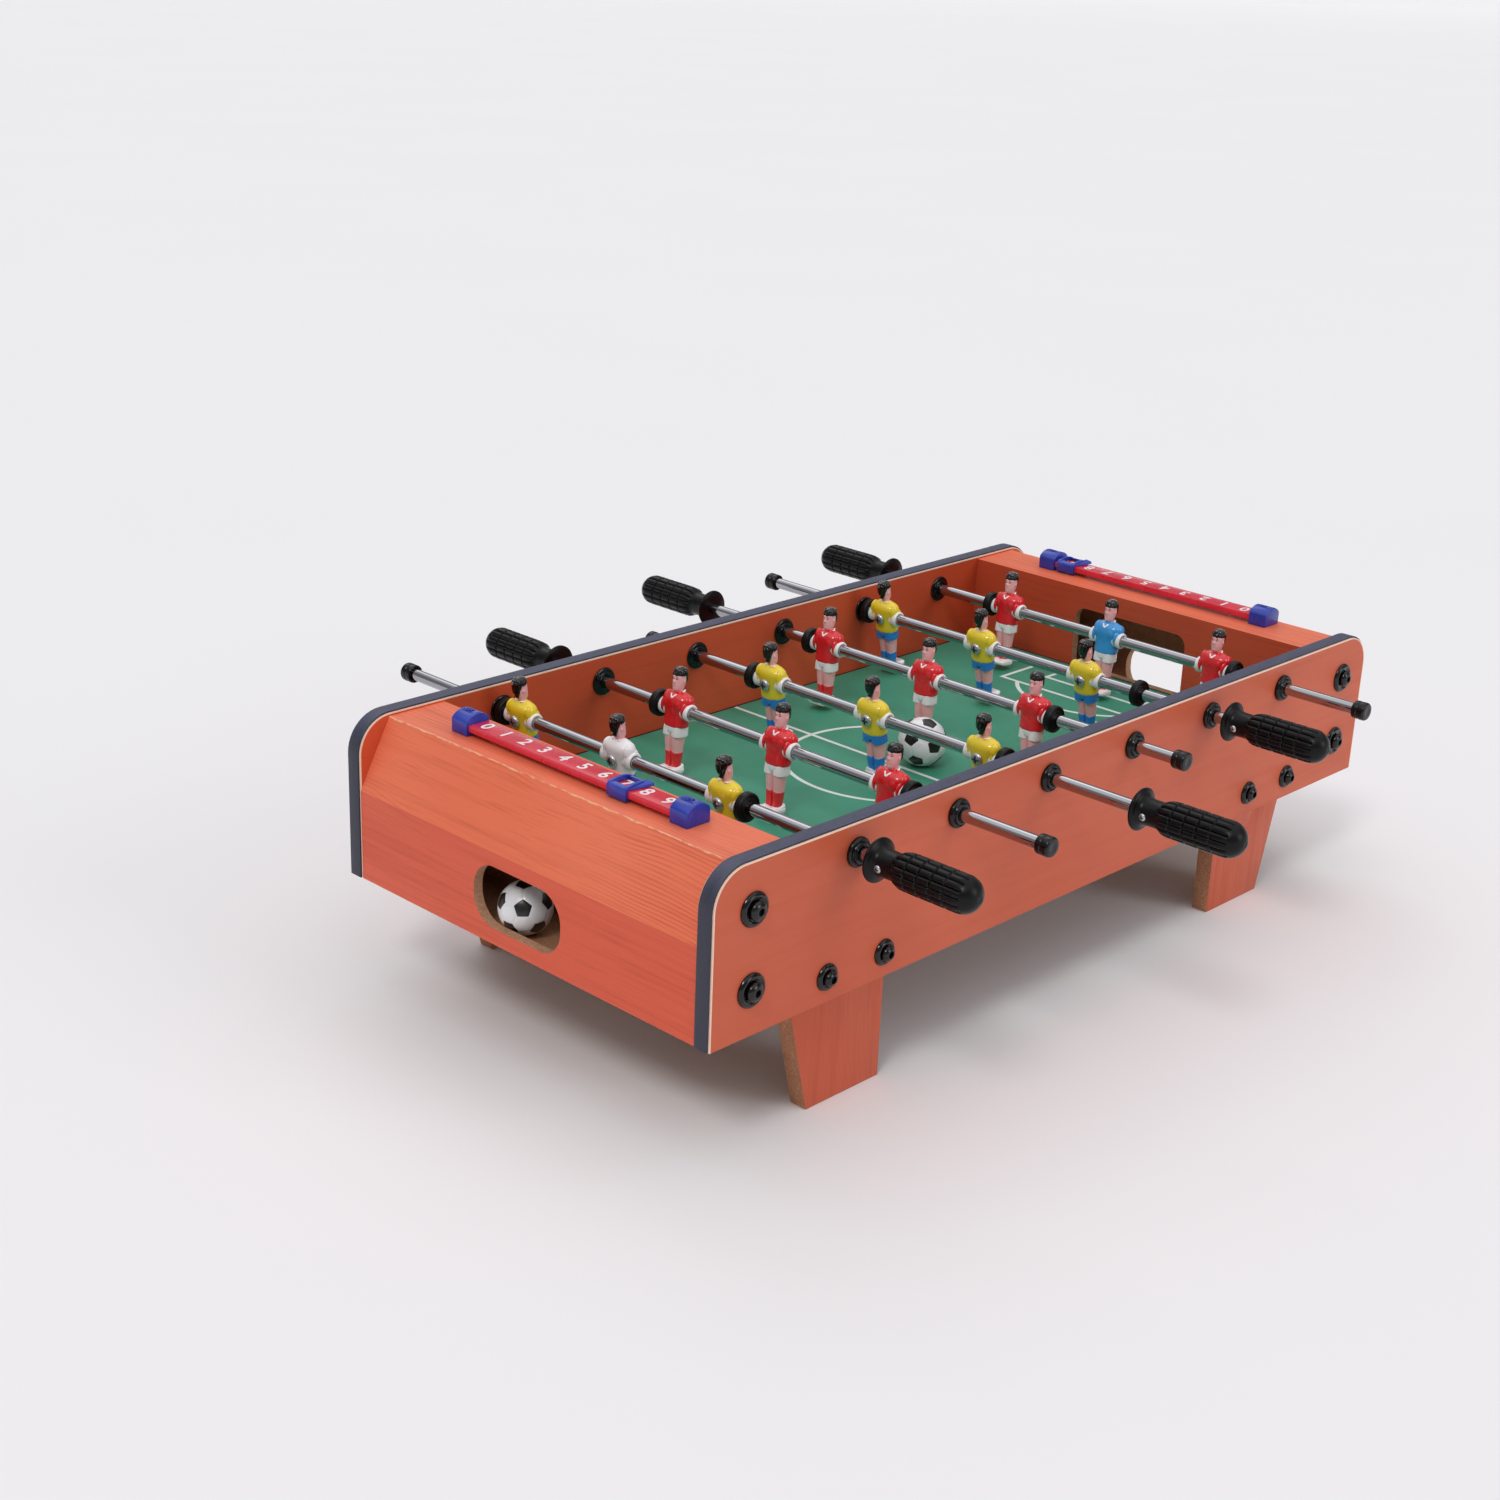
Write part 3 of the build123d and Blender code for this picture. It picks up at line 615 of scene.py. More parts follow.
def rounded(profile, radius, steps=4):
    """Rounds the inner corners of an open (y, r) profile with short arcs."""
    out = [profile[0]]
    for i in range(1, len(profile) - 1):
        p, a, b = (Vector(profile[i + k]) for k in (0, -1, 1))
        da, db = (a - p), (b - p)
        reach = min(radius, da.length * 0.45, db.length * 0.45)
        start, stop = p + da.normalized() * reach, p + db.normalized() * reach
        for k in range(steps + 1):
            s = k / steps
            q = start * (1 - s) ** 2 + p * 2 * s * (1 - s) + stop * s * s
            out.append((q.x, q.y))
    out.append(profile[-1])
    return out


# ---- Men
# Each is drawn round the rod's axis, facing +X. A row is (height, middle, half depth, half width,
# squareness), and rows go from the bottom up.
HEAD_ROWS = [
    (9.2, 1.0, 1.7, 1.6, 2.0), (10.2, 0.9, 2.6, 2.2, 2.1), (12.0, 0.6, 3.2, 2.7, 2.2),
    (14.5, 0.3, 3.5, 2.95, 2.2), (17.0, 0.1, 3.6, 3.0, 2.1), (19.2, 0.0, 3.2, 2.75, 2.0),
    (20.6, -0.1, 2.1, 1.9, 2.0), (21.1, -0.1, 0.8, 0.8, 2.0),
]


# Shape of the face: (height, its spread, how far it stands out, middle, width) of each feature
FEATURES = (
    (14.4, 1.0, 0.85, 0.0, 0.75),
    (16.6, 0.6, 0.25, 0.0, 2.4),
    (15.7, 0.6, -0.35, 1.5, 0.8),
    (10.6, 0.8, 0.3, 0.0, 1.2),
    (12.5, 0.45, 0.22, 0.0, 1.2),
)


def face_relief(y, height):
    total = 0.0
    for level, spread, rise, centre, width in FEATURES:
        away = (abs(y) - centre) / width
        total += rise * math.exp(-(((height - level) / spread) ** 2) - away**2)
    return total


def build_head(shell):
    loops = []
    for z, cx, hx, hy, power in curve_through(HEAD_ROWS, 34):
        loop = []
        for x, y, height in superellipse(cx, 0.0, z, hx, hy, power, 40):
            front = max(0.0, (x - cx) / max(hx, 0.01))
            loop.append((x + front**2 * face_relief(y, height), y, height))
        loops.append(loop)
    shell.rings(loops, "skin")
    for side in (-1, 1):
        ellipsoid(shell, (-0.1, side * 2.9, 14.6), (0.8, 0.5, 1.1), "skin", 12)
        ellipsoid(shell, (3.35, side * 1.15, 15.75), (0.36, 0.55, 0.18), "face_paint", 12)
        ellipsoid(shell, (3.5, side * 1.15, 16.7), (0.32, 0.7, 0.15), "hair", 12)
    ellipsoid(shell, (3.65, 0.0, 12.45), (0.3, 0.8, 0.16), "face_paint", 12)


def build_hair(shell):
    """A moulded cap of hair, longer at the back, with combed ridges."""
    loops = []
    for z, cx, hx, hy, power in curve_through(HEAD_ROWS, 40):
        loop = []
        for x, y, height in superellipse(cx, 0.0, z, hx, hy, power, 56):
            along = (x - cx) / max(hx, 0.01)
            nape = min(1.0, max(0.0, -along - 0.25) / 0.75)
            hairline = 17.2 - 7.0 * nape**1.3 + 0.15 * math.cos(3 * y)
            cover = 1 / (1 + math.exp(-(height - hairline) * 5.0))
            comb = 0.22 * math.sin(5.2 * x + 1.6 * math.sin(1.3 * y + 0.7 * height))
            grow = -0.45 + cover * (0.85 + comb)
            length = math.hypot(x - cx, y) or 1.0
            out_x, out_y = (x - cx) / length, y / length
            loop.append((x + out_x * grow, y + out_y * grow, height + 0.25 * cover))
        loops.append(loop)
    shell.rings(loops, "hair")


TORSO_ROWS = [
    (-8.3, 0.2, 4.7, 6.2, 2.5), (-7.4, 0.2, 5.0, 6.5, 2.6), (-4.5, 0.1, 5.0, 6.3, 2.6),
    (-1.0, 0.1, 5.1, 6.6, 2.6), (3.0, 0.2, 5.4, 7.6, 2.6), (5.6, 0.1, 5.2, 8.2, 2.5),
    (7.4, 0.0, 4.3, 7.4, 2.3), (8.7, 0.1, 3.0, 5.2, 2.1), (9.5, 0.2, 2.0, 2.7, 2.0),
]


def build_torso(shell, shirt):
    tower(shell, TORSO_ROWS, shirt, 36, 34)
    for side in (-1, 1):
        # shoulder and upper arm
        ellipsoid(shell, (-0.4, side * 7.0, 4.2), (3.5, 2.1, 4.1), shirt, 22)
        ellipsoid(shell, (0.4, side * 6.9, 1.3), (4.4, 2.0, 4.8), shirt, 24)
    for side in (-1, 1):
        # half of the chest
        ellipsoid(shell, (3.0, side * 3.6, 3.2), (2.6, 3.0, 3.4), shirt, 18)


def build_collar(shell):
    """V-shaped collar that lies on the shirt below the neck."""
    path = [(-2.2, 1.6, 9.6), (-0.4, 2.9, 9.3), (1.8, 2.4, 8.9), (3.6, 1.3, 7.8)]
    path.append((4.75, 0.0, 6.4))
    width, thickness = 0.62, 0.36
    for side in (-1, 1):
        loops = []
        for i, (x, y, z) in enumerate(path):
            ahead = Vector(path[min(i + 1, len(path) - 1)]) - Vector(path[max(i - 1, 0)])
            ahead.y *= side
            ahead.normalize()
            out = Vector((0.55, 0.0, 0.85))
            out = (out - ahead * out.dot(ahead)).normalized()
            across = ahead.cross(out)
            centre = Vector((x, side * y, z))
            ring = []
            for a in angles(10):
                offset = across * width * math.cos(a), out * thickness * math.sin(a)
                ring.append(tuple(centre + offset[0] + offset[1]))
            loops.append(ring)
        shell.rings(loops, "white")


HIP_ROWS = [
    (-11.0, 0.2, 4.4, 5.4, 2.6), (-9.5, 0.2, 4.7, 6.0, 2.7), (-7.5, 0.2, 4.6, 6.0, 2.7),
    (-6.0, 0.2, 4.2, 5.6, 2.6),
]
SHORTS_ROWS = [
    (-13.4, 0.3, 3.9, 2.7, 2.4), (-13.0, 0.3, 4.5, 3.15, 2.5), (-11.0, 0.3, 4.5, 3.1, 2.5),
    (-8.0, 0.2, 4.3, 2.9, 2.5),
]
KNEE_ROWS = [
    (-22.0, 0.4, 2.9, 2.2, 2.4), (-20.5, 0.4, 3.0, 2.25, 2.4), (-17.5, 0.5, 3.4, 2.4, 2.4),
    (-12.5, 0.4, 3.9, 2.8, 2.3),
]
SOCK_ROWS = [
    (-29.4, 0.4, 2.5, 1.95, 2.3), (-27.5, 0.3, 2.6, 2.0, 2.3), (-24.5, 0.2, 2.9, 2.2, 2.3),
    (-22.2, 0.3, 3.1, 2.35, 2.3), (-21.5, 0.4, 3.2, 2.45, 2.3), (-21.2, 0.4, 2.9, 2.1, 2.3),
]
NECK_ROWS = [(7.0, 0.2, 2.6, 2.5, 2.0), (9.5, 0.4, 2.1, 2.1, 2.0), (11.5, 0.5, 2.3, 2.3, 2.0)]


def build_legs(shell, shorts, socks):
    tower(shell, HIP_ROWS, shorts, 36, 10)
    for side in (-1, 1):
        tower(shell, SHORTS_ROWS, shorts, 26, 12, side * 2.95)
        tower(shell, KNEE_ROWS, "skin", 26, 14, side * 2.3)
        tower(shell, SOCK_ROWS, socks, 26, 20, side * 2.2)


def boot_half_width(s):
    """Half width of a boot from its heel (s = 0) to its toe (s = 1)."""
    half = 2.35 * math.sin(math.pi * (0.18 + 0.9 * s * (1.15 - s) * 1.9)) ** 0.35
    if s >= 0.85:
        half *= math.sqrt(max(0.05, 1 - ((s - 0.85) / 0.16) ** 2))
    if s < 0.08:
        half *= 0.75 + 0.25 * s / 0.08
    return half


SOLE_REACH = 32.15
SOLE_TOP = -29.5


def build_boots(shell):
    """Two boots on a shared sole whose underside follows the swing of the foot."""
    bottom = -30.9
    for side in (-1, 1):
        loops = []
        for s in np.linspace(0.0, 1.0, 18):
            top = -27.9 - 1.9 * s**1.4 - 0.28 * math.exp(-(((s - 0.42) / 0.12) ** 2))
            half = boot_half_width(s)
            cz, hz = (top + bottom) / 2, (top - bottom) / 2
            loop = []
            for a in angles(22):
                c, w = math.cos(a), math.sin(a)
                y = math.copysign(abs(c) ** 0.75, c) * half
                z = math.copysign(abs(w) ** 0.7, w) * hz
                loop.append((-3.2 + 11.2 * s, side * 2.75 + y, cz + z))
            loops.append(loop)
        shell.rings(loops, "white")
    loops = []
    for level, grow in ((0.0, -0.35), (0.2, 0.0), (0.85, 0.0), (1.0, -0.3)):
        loop = []
        for x, y, _ in superellipse(2.5, 0.0, 0.0, 6.1 + grow, 5.55 + grow, 5.0, 48):
            swing = -math.sqrt(SOLE_REACH**2 - x * x)
            loop.append((x, y, swing + level * (SOLE_TOP - swing)))
        loops.append(loop)
    shell.rings(loops, "white")


def build_hub(shell):
    """White sleeve with a flared end round the rod on each side."""
    profile = [(0.0, 4.0), (7.2, 4.0), (8.0, 4.35), (9.4, 4.35), (9.7, 4.2), (9.98, 4.0)]
    profile += [(9.98, 3.1), (8.0, 3.07)]
    for side in (-1, 1):
        turned(shell, [(side * y, r) for y, r in rounded(profile, 0.35)], "white", 40)


def man_mesh(name, shirt, shorts, socks):
    shell = Shell()
    build_hub(shell)
    build_torso(shell, shirt)
    build_legs(shell, shorts, socks)
    build_boots(shell)
    tower(shell, NECK_ROWS, "skin", 24, 8)
    build_collar(shell)
    build_head(shell)
    build_hair(shell)
    return shell.mesh(name, 50.0)


KITS = {
    "yellow": man_mesh("man_yellow", "yellow", "blue", "blue"),
    "red": man_mesh("man_red", "red", "white", "red"),
    "white": man_mesh("man_white", "white", "blue", "blue"),
    "sky": man_mesh("man_sky", "sky", "white", "red"),
}


# The middle men of the two end rods wear a kit of their own
ODD_KITS = {1: "white", 6: "sky"}


def rod_place(number, y=0.0):
    """From a rod's own axes to the table: odd rods face +X, even rods are turned about."""
    turn = 0.0 if number % 2 else math.pi
    return (
        Matrix.Translation((ROD_X[number - 1] * MM, ROD_Y[number - 1] * MM, ROD_HEIGHT * MM))
        @ Matrix.Rotation(turn, 4, "Z")
        @ Matrix.Rotation(math.radians(-FORWARD_LEANS[number - 1]), 4, "Y")
        @ Matrix.Translation((0.0, y * MM, 0.0))
    )


def add_men(number):
    team = "yellow" if number % 2 else "red"
    for index, y in enumerate(MAN_PLACES, 1):
        kit = ODD_KITS.get(number, team) if index == 2 else team
        name, body, slot = f"man_{number}_{index}", f"rod_{number}_turn", f"{team}_players"
        piece(name, KITS[kit], body, [f"men_{number}"], rod_place(number, y))


# ---- Handles, caps, rings, screws and bushings
GRIP_RADIUS = 8.35
GRIP_DOME, GRIP_PADS = 46.1, 14
PAD_START, PAD_END = 12.8, 49.4
GROOVE_START, GROOVE_PITCH = 20.2, 6.9


def grip_radius(t, phase, table):
    """Radius at t along the handle; phase runs from -0.5 to 0.5 across one lengthwise pad."""
    base = float(np.interp(t, table[:, 0], table[:, 1]))
    if t > GRIP_DOME:
        base = math.sqrt(max(GRIP_RADIUS**2 - (t - GRIP_DOME) ** 2, 0.3))
    along = min(1.0, max(0.0, (t - PAD_START) / 1.4)) * min(1.0, max(0.0, (PAD_END - t) / 1.3))
    along = math.sqrt(along * (2 - along))
    between = (2 * abs(phase)) ** 3.2
    groove = 0.0
    for k in range(4):
        groove += math.exp(-(((t - GROOVE_START - GROOVE_PITCH * k) / 0.36) ** 2))
    return base - 0.95 * along * between - 0.75 * groove * (1 - 0.6 * between)


def handle_mesh():
    """Flange, neck and a grip of rounded pads: lengthwise channels crossed by ring grooves."""
    keys = [(0.0, 9.3), (0.5, 9.95), (1.3, 9.95), (1.9, 9.2), (2.6, 7.6), (4.0, 6.5), (6.5, 6.2)]
    keys += [(11.5, 6.2), (PAD_START, 6.7), (14.2, 7.6), (16.0, 8.15), (19.0, GRIP_RADIUS)]
    keys += [(GRIP_DOME, GRIP_RADIUS), (54.5, 0.5)]
    parts = ((0.0, 3.0, 16), (3.2, 12.5, 12), (12.7, 49.6, 168), (49.9, 54.4, 16))
    stations = np.concatenate([np.linspace(*part) for part in parts])
    table = np.array(keys)
    around = angles(196)
    loops = [circle(ROD_RADIUS, -30.0, len(around)), circle(ROD_RADIUS, 0.0, len(around))]
    for t in stations:
        loop = []
        for a in around:
            phase = (a * GRIP_PADS / (2 * math.pi) + 0.5) % 1.0 - 0.5
            r = grip_radius(t, phase, table)
            loop.append((r * math.cos(a), -t, r * math.sin(a)))
        loops.append(loop)
    shell = Shell()
    shell.rings(loops, "grip", False, True)
    # a moulding mark on the very end
    turned(shell, [(-54.0, 1.9), (-54.4, 1.7), (-54.45, 1.2), (-54.2, 0.9)], "grip", 24)
    return shell.mesh("handle_grip", 48.0)


def turned_mesh(name, profile, key, fillet, count, sharp):
    shell = Shell()
    turned(shell, rounded(profile, fillet), key, count)
    return shell.mesh(name, sharp)


def cap_mesh():
    profile = [(0.6, 3.07), (0.0, 3.2), (0.0, 4.25), (0.5, 4.6), (2.6, 4.68), (3.0, 4.4)]
    profile += [(3.4, 4.4), (3.8, 4.68), (6.2, 4.68), (7.0, 4.2), (7.18, 2.4), (7.0, 1.5)]
    profile.append((7.0, 0.0))
    return turned_mesh("rod_cap", profile, "black_moulded", 0.3, 48, 40.0)


def ring_mesh():
    """Bumper ring: rounded tread with a step and a groove on both sides."""
    half = RING_THICKNESS / 2
    side = [(half - 0.05, 3.06), (half, 3.3), (half, 4.5), (half - 0.55, 4.75)]
    side += [(half - 0.55, 5.3), (half, 5.6), (half, 6.2), (half - 0.3, 6.65), (half - 0.9, 6.85)]
    profile = side + [(-y, r) for y, r in reversed(side)]
    shell = Shell()
    turned(shell, rounded(profile, 0.2) + [profile[0]], "rubber", 56, closed=True)
    return shell.mesh("bumper_ring", 30.0)


def outer_bushing_mesh():
    """Flanged bushing seen from outside: rolled rim, dished face and a collar at the rod."""
    profile = [(-1.0, 4.2), (0.0, 4.3), (0.0, 6.7), (0.5, 6.88), (1.4, 6.8), (2.2, 6.2)]
    profile += [(2.35, 5.8), (1.9, 5.4), (1.9, 5.1), (2.4, 4.85), (3.0, 4.7), (3.2, 4.4)]
    profile += [(3.2, 3.7), (2.7, 3.3), (2.7, 3.07), (1.0, 3.06)]
    return turned_mesh("outer_bushing", profile, "black_moulded", 0.25, 56, 35.0)


def inner_bushing_mesh():
    """Lock ring on the inside: domed disc, boss round the rod and three small rivets."""
    profile = [(-0.2, 4.4), (0.0, 6.9), (0.5, 7.3), (1.0, 7.1), (1.35, 6.2), (1.45, 5.0)]
    profile += [(1.75, 4.6), (1.78, 3.9), (1.6, 3.5), (1.5, 3.08), (0.2, 3.06)]
    shell = Shell()
    turned(shell, rounded(profile, 0.2), "black_moulded", 56)
    for a in angles(3, 0.5):
        rivet = (5.5 * math.cos(a), 1.3, 5.5 * math.sin(a))
        ellipsoid(shell, rivet, (0.55, 0.28, 0.55), "black_moulded", 10)
    return shell.mesh("inner_bushing", 35.0)


def bolt_mesh(name, washer, head, shank, reach):
    """Cup washer and button-headed bolt on a panel; outward is +Y and the panel's face is y = 0."""
    shell = Shell()
    profile = [(0.0, shank + 0.2), (0.0, washer - 0.1), (0.5, washer), (1.2, washer - 0.35)]
    profile += [(1.85, washer - 1.1), (1.98, washer - 1.8), (1.75, washer - 2.3)]
    profile += [(1.3, head + 0.35), (1.3, head - 0.4), (1.3, shank + 0.2)]
    turned(shell, rounded(profile, 0.3) + [profile[0]], "black_bolt", 56, closed=True)
    outline = [(-reach, shank - 0.5), (0.9 - reach, shank), (2.0, shank), (2.0, head - 0.2)]
    outline += [(2.3, head), (2.9, head), (3.5, 0.93 * head), (4.1, 0.78 * head)]
    outline += [(4.45, 0.60 * head), (4.58, 0.5 * head)]
    loops = [circle(r, y, 48) for y, r in outline]
    # the hexagon socket
    for y, flat in ((4.58, 1.62), (4.4, 1.5), (3.1, 1.5)):
        loop = []
        for a in angles(48):
            r = flat / math.cos((a + math.pi / 6) % (math.pi / 3) - math.pi / 6)
            loop.append((r * math.cos(a), y, r * math.sin(a)))
        loops.append(loop)
    shell.rings(loops, "black_bolt")
    return shell.mesh(name, 30.0)


def screw_mesh(name, radius, height):
    """Pan head with a cross recess; its axis is along -X and its underside at x = 0."""
    shell = Shell()
    arm, slot_width, slot_depth = radius * 0.62, radius * 0.17, 0.55 * height
    loops = []
    for s in (step / 21 for step in range(22)):
        r = radius * (1 - s)
        dome = height * (1 - (r / radius) ** 2.6) ** 0.5 if r < radius else 0.0
        loop = []
        for a in angles(72):
            y, z = r * math.cos(a), r * math.sin(a)
            wide = slot_width * (1.15 - min(1.0, max(abs(y), abs(z)) / arm) * 0.4)
            in_cross = min(abs(y), abs(z)) < wide and max(abs(y), abs(z)) < arm
            loop.append((-(dome - (slot_depth if in_cross else 0.0)), y, z))
        loops.append(loop)
    shell.rings(loops, "zinc")
    for wide, tall in ((0.62 * radius, 0.15 * radius), (0.15 * radius, 0.62 * radius)):
        radii = (height * 0.36, wide, tall)
        ellipsoid(shell, (-height * 0.72, 0.0, 0.0), radii, "zinc_shadow", 16)
    loops = []
    for i in range(10):
        r = 1.15 if i % 2 else 0.95
        loops.append([(0.4 * i, r * math.cos(a), r * math.sin(a)) for a in angles(20)])
    shell.rings(loops, "zinc")
    return shell.mesh(name, 30.0)


HANDLE = handle_mesh()
CAP = cap_mesh()
RING = ring_mesh()
OUTER_BUSHING = outer_bushing_mesh()
INNER_BUSHING = inner_bushing_mesh()
MAN_SCREW = screw_mesh("man_screw", 3.1, 1.65)
NECK_SCREW = screw_mesh("neck_screw", 1.75, 0.9)
CORNER_BOLT = bolt_mesh("corner_bolt", 7.8, 4.4, 2.45, 19.0)
LEG_BOLT = bolt_mesh("leg_bolt", 6.2, 3.6, 1.95, 16.5)
BOLT_PLACES = [(CORNER_BOLT, 226.5, 77.1), (CORNER_BOLT, 226.5, 113.2)]
BOLT_PLACES += [(LEG_BOLT, 180.3, 67.9), (LEG_BOLT, 143.7, 67.9)]


def add_rod(number):
    turn_body, slide_body = f"rod_{number}_turn", f"rod_{number}_slide"
    coat(nodes[f"rod_{number}"].data, "chrome")
    add_men(number)
    place = rod_place(number, HANDLE_START)
    piece(f"grip_{number}", HANDLE, turn_body, [f"handle_{number}"], place)
    place = rod_place(number, CAP_START)
    piece(f"cap_{number}", CAP, turn_body, [f"end_cap_{number}"], place)
    screws = [f"screws_{number}"]
    for index, y in enumerate(MAN_PLACES, 1):
        name = f"man_screw_{number}_{index}"
        place = rod_place(number, y) @ Matrix.Translation((MAN_SCREW_SEAT * MM, 0.0, 0.0))
        piece(name, MAN_SCREW, turn_body, screws, place)
    seat, y = NECK_SCREW_PLACE
    place = rod_place(number, y) @ Matrix.Translation((seat * MM, 0.0, 0.0))
    piece(f"neck_screw_{number}", NECK_SCREW, turn_body, screws, place)
    centre = MAN_SPACING + HUB_LENGTH + 0.15 + RING_THICKNESS / 2
    for side, y in (("a", -centre), ("b", centre)):
        name, body, node = f"bumper_{number}_{side}", slide_body, f"rings_{number}"
        if (number, side) == (5, "a"):
            name, body, node = "bumper_5_loose", "loose_ring", "loose_ring_5"
            y = middle(node).y - ROD_Y[4]
        piece(name, RING, body, [node], rod_place(number, y))


def on_panel(x, face, z, outward):
    """A place on a side panel's face, with +Y turned to point along outward (+1 or -1)."""
    turn = Matrix.Rotation(0.0 if outward > 0 else math.pi, 4, "Z")
    return Matrix.Translation((x * MM, face * MM, z * MM)) @ turn


def add_bolts():
    stood_for = ["frame_bolts", "bolt_washers"]
    for side, label in SIDES:
        for end, end_label in ENDS:
            for index, (data, x, z) in enumerate(BOLT_PLACES, 1):
                place = on_panel(end * x, side * PANEL_FACE, z, side)
                name = f"bolt_{label}_{end_label}_{index}"
                piece(name, data, "table", stood_for, place)


def add_bushings():
    for number, x in enumerate(ROD_X, 1):
        for side, label in SIDES:
            for kind, data, node, face, outward in (
                ("bushing", OUTER_BUSHING, "rod_bushings", PANEL_FACE, side),
                ("lock_ring", INNER_BUSHING, "bushing_rings", PANEL_INNER_FACE, -side),
            ):
                place = on_panel(x, side * face, ROD_HEIGHT, outward)
                name = f"{kind}_{label}_{number}"
                piece(name, data, "table", [node], place)


# ---- Balls
def leather_patch(shell, patch, key):
    """One flat-sided patch blown up to the ball, sinking a little into the seam round it."""
    centre = sum(patch, Vector()) / len(patch)
    steps = 7
    for corner, other in zip(patch, patch[1:] + patch[:1]):
        grid, faces = [], []
        for a in range(steps + 1):
            for b in range(a + 1):
                edge = corner.lerp(other, b / a) if a else corner
                point = centre.lerp(edge, a / steps)
                seam = max(0.0, (a / steps - 0.86) / 0.14)
                height = BALL_RADIUS - 0.22 * seam**2
                grid.append(tuple(point.normalized() * height))
        for a in range(steps):
            row, below = a * (a + 1) // 2, (a + 1) * (a + 2) // 2
            for b in range(a + 1):
                faces.append((row + b, below + b, below + b + 1))
                if b < a:
                    faces.append((row + b, below + b + 1, row + b + 1))
        shell.add(grid, faces, key)


def ball_mesh():
    """Football of black pentagons and white hexagons; one pentagon faces +X with a corner up."""
    form = bmesh.new()
    bmesh.ops.create_icosphere(form, subdivisions=1, radius=1.0)
    third = {"offset": 100.0 / 3, "offset_type": "PERCENT"}
    bmesh.ops.bevel(form, geom=form.verts[:], affect="VERTICES", segments=1, **third)
    pentagon = next(face for face in form.faces if len(face.verts) == 5)
    out = pentagon.calc_center_median().normalized()
    up = pentagon.verts[0].co - out * out.dot(pentagon.verts[0].co)
    up.normalize()
    turn = Matrix((out, up.cross(out), up))
    shell = Shell()
    for face in form.faces:
        patch = [turn @ corner.co for corner in face.verts]
        leather_patch(shell, patch, "ball_black" if len(patch) == 5 else "ball_white")
    form.free()
    data = shell.mesh("football", 60.0)
    join = bmesh.new()
    join.from_mesh(data)
    bmesh.ops.remove_doubles(join, verts=join.verts[:], dist=0.02 * MM)
    bmesh.ops.recalc_face_normals(join, faces=join.faces[:])
    join.to_mesh(data)
    join.free()
    return data


def add_balls():
    data = ball_mesh()
    for node, facing, top in (
        ("pitch_ball", (-0.28, -0.86, 0.12), (0.1, 0.0, 1.0)),
        ("tray_ball", (-0.68, -0.64, 0.36), (0.0, 0.05, 1.0)),
    ):
        out = Vector(facing).normalized()
        up = (Vector(top) - out * out.dot(Vector(top))).normalized()
        spin = Matrix((out, up.cross(out), up)).transposed().to_4x4()
        place = Matrix.Translation(middle(node) * MM) @ spin
        piece(f"{node}_skin", data, node, [node], place)


# ---- Softened copies of CAD nodes, and the counters' numbers
def softened(node, key, width, segments=3):
    """A copy of a sharp-edged CAD node of the table with its edges rounded; it stands for it."""
    name = f"{node}_soft"
    data = nodes[node].data.copy()
    form = bmesh.new()
    form.from_mesh(data)
    bmesh.ops.remove_doubles(form, verts=form.verts[:], dist=1e-6)
    flat = math.radians(1.0)
    bmesh.ops.dissolve_limit(form, angle_limit=flat, verts=form.verts[:], edges=form.edges[:])
    form.to_mesh(data)
    form.free()
    coat(data, key)
    item = new_object("unrounded", data)
    bevel = item.modifiers.new("soft_edges", "BEVEL")
    bevel.width = width * MM
    bevel.segments = segments
    bevel.limit_method = "ANGLE"
    bevel.angle_limit = math.radians(32)
    bevel.use_clamp_overlap = True
    bevel.miter_outer = "MITER_SHARP"
    soft = evaluated_mesh(item)
    bpy.data.objects.remove(item)
    soft.name = name
    low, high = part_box(node)
    for vertex in soft.vertices:
        vertex.co = [min(max(c, a), b) for c, a, b in zip(vertex.co, low, high)]
    soft.polygons.foreach_set("use_smooth", [True] * len(soft.polygons))
    soft.set_sharp_from_angle(angle=math.radians(30))
    return piece(name, soft, "table", [node])


def add_digits(end, label):
    """Numbers 0 to 9 printed along a score bar, read from the player's side at the table's end."""
    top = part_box("score_bars")[1].z / MM + 0.02
    turn = Matrix.Rotation(math.radians(90.0 * end), 4, "Z")
    for value in range(10):
        y = end * (DIGIT_START + DIGIT_PITCH * value)
        text = bpy.data.curves.new(f"digit_{value}", "FONT")
        text.body = str(value)
        text.size = DIGIT_SIZE * MM
        text.align_x = text.align_y = "CENTER"
        text.offset = 0.20 * MM
        text.extrude = 0.03 * MM
        item = new_object(f"temporary_digit_{value}", text)
        data = evaluated_mesh(item)
        bpy.data.objects.remove(item)
        coat(data, "digit")
        place = Matrix.Translation((BAR_X[label] * MM, y * MM, top * MM)) @ turn
        piece(f"number_{label}_{value}", data, "table", (), place)


def prism(shell, outline, low, high, key):
    """Extrudes an (x, z) outline along Y with its rim drawn in a little at both ends."""
    loops = []
    middle_x = sum(x for x, _ in outline) / len(outline)
    middle_z = sum(z for _, z in outline) / len(outline)
    for y, inset in ((low, 0.25), (low + 0.25, 0.0), (high - 0.25, 0.0), (high, 0.25)):
        loop = []
        for x, z in outline:
            dx, dz = middle_x - x, middle_z - z
            length = math.hypot(dx, dz)
            loop.append((x + dx / length * inset, y, z + dz / length * inset))
        loops.append(loop)
    shell.rings(loops, key)


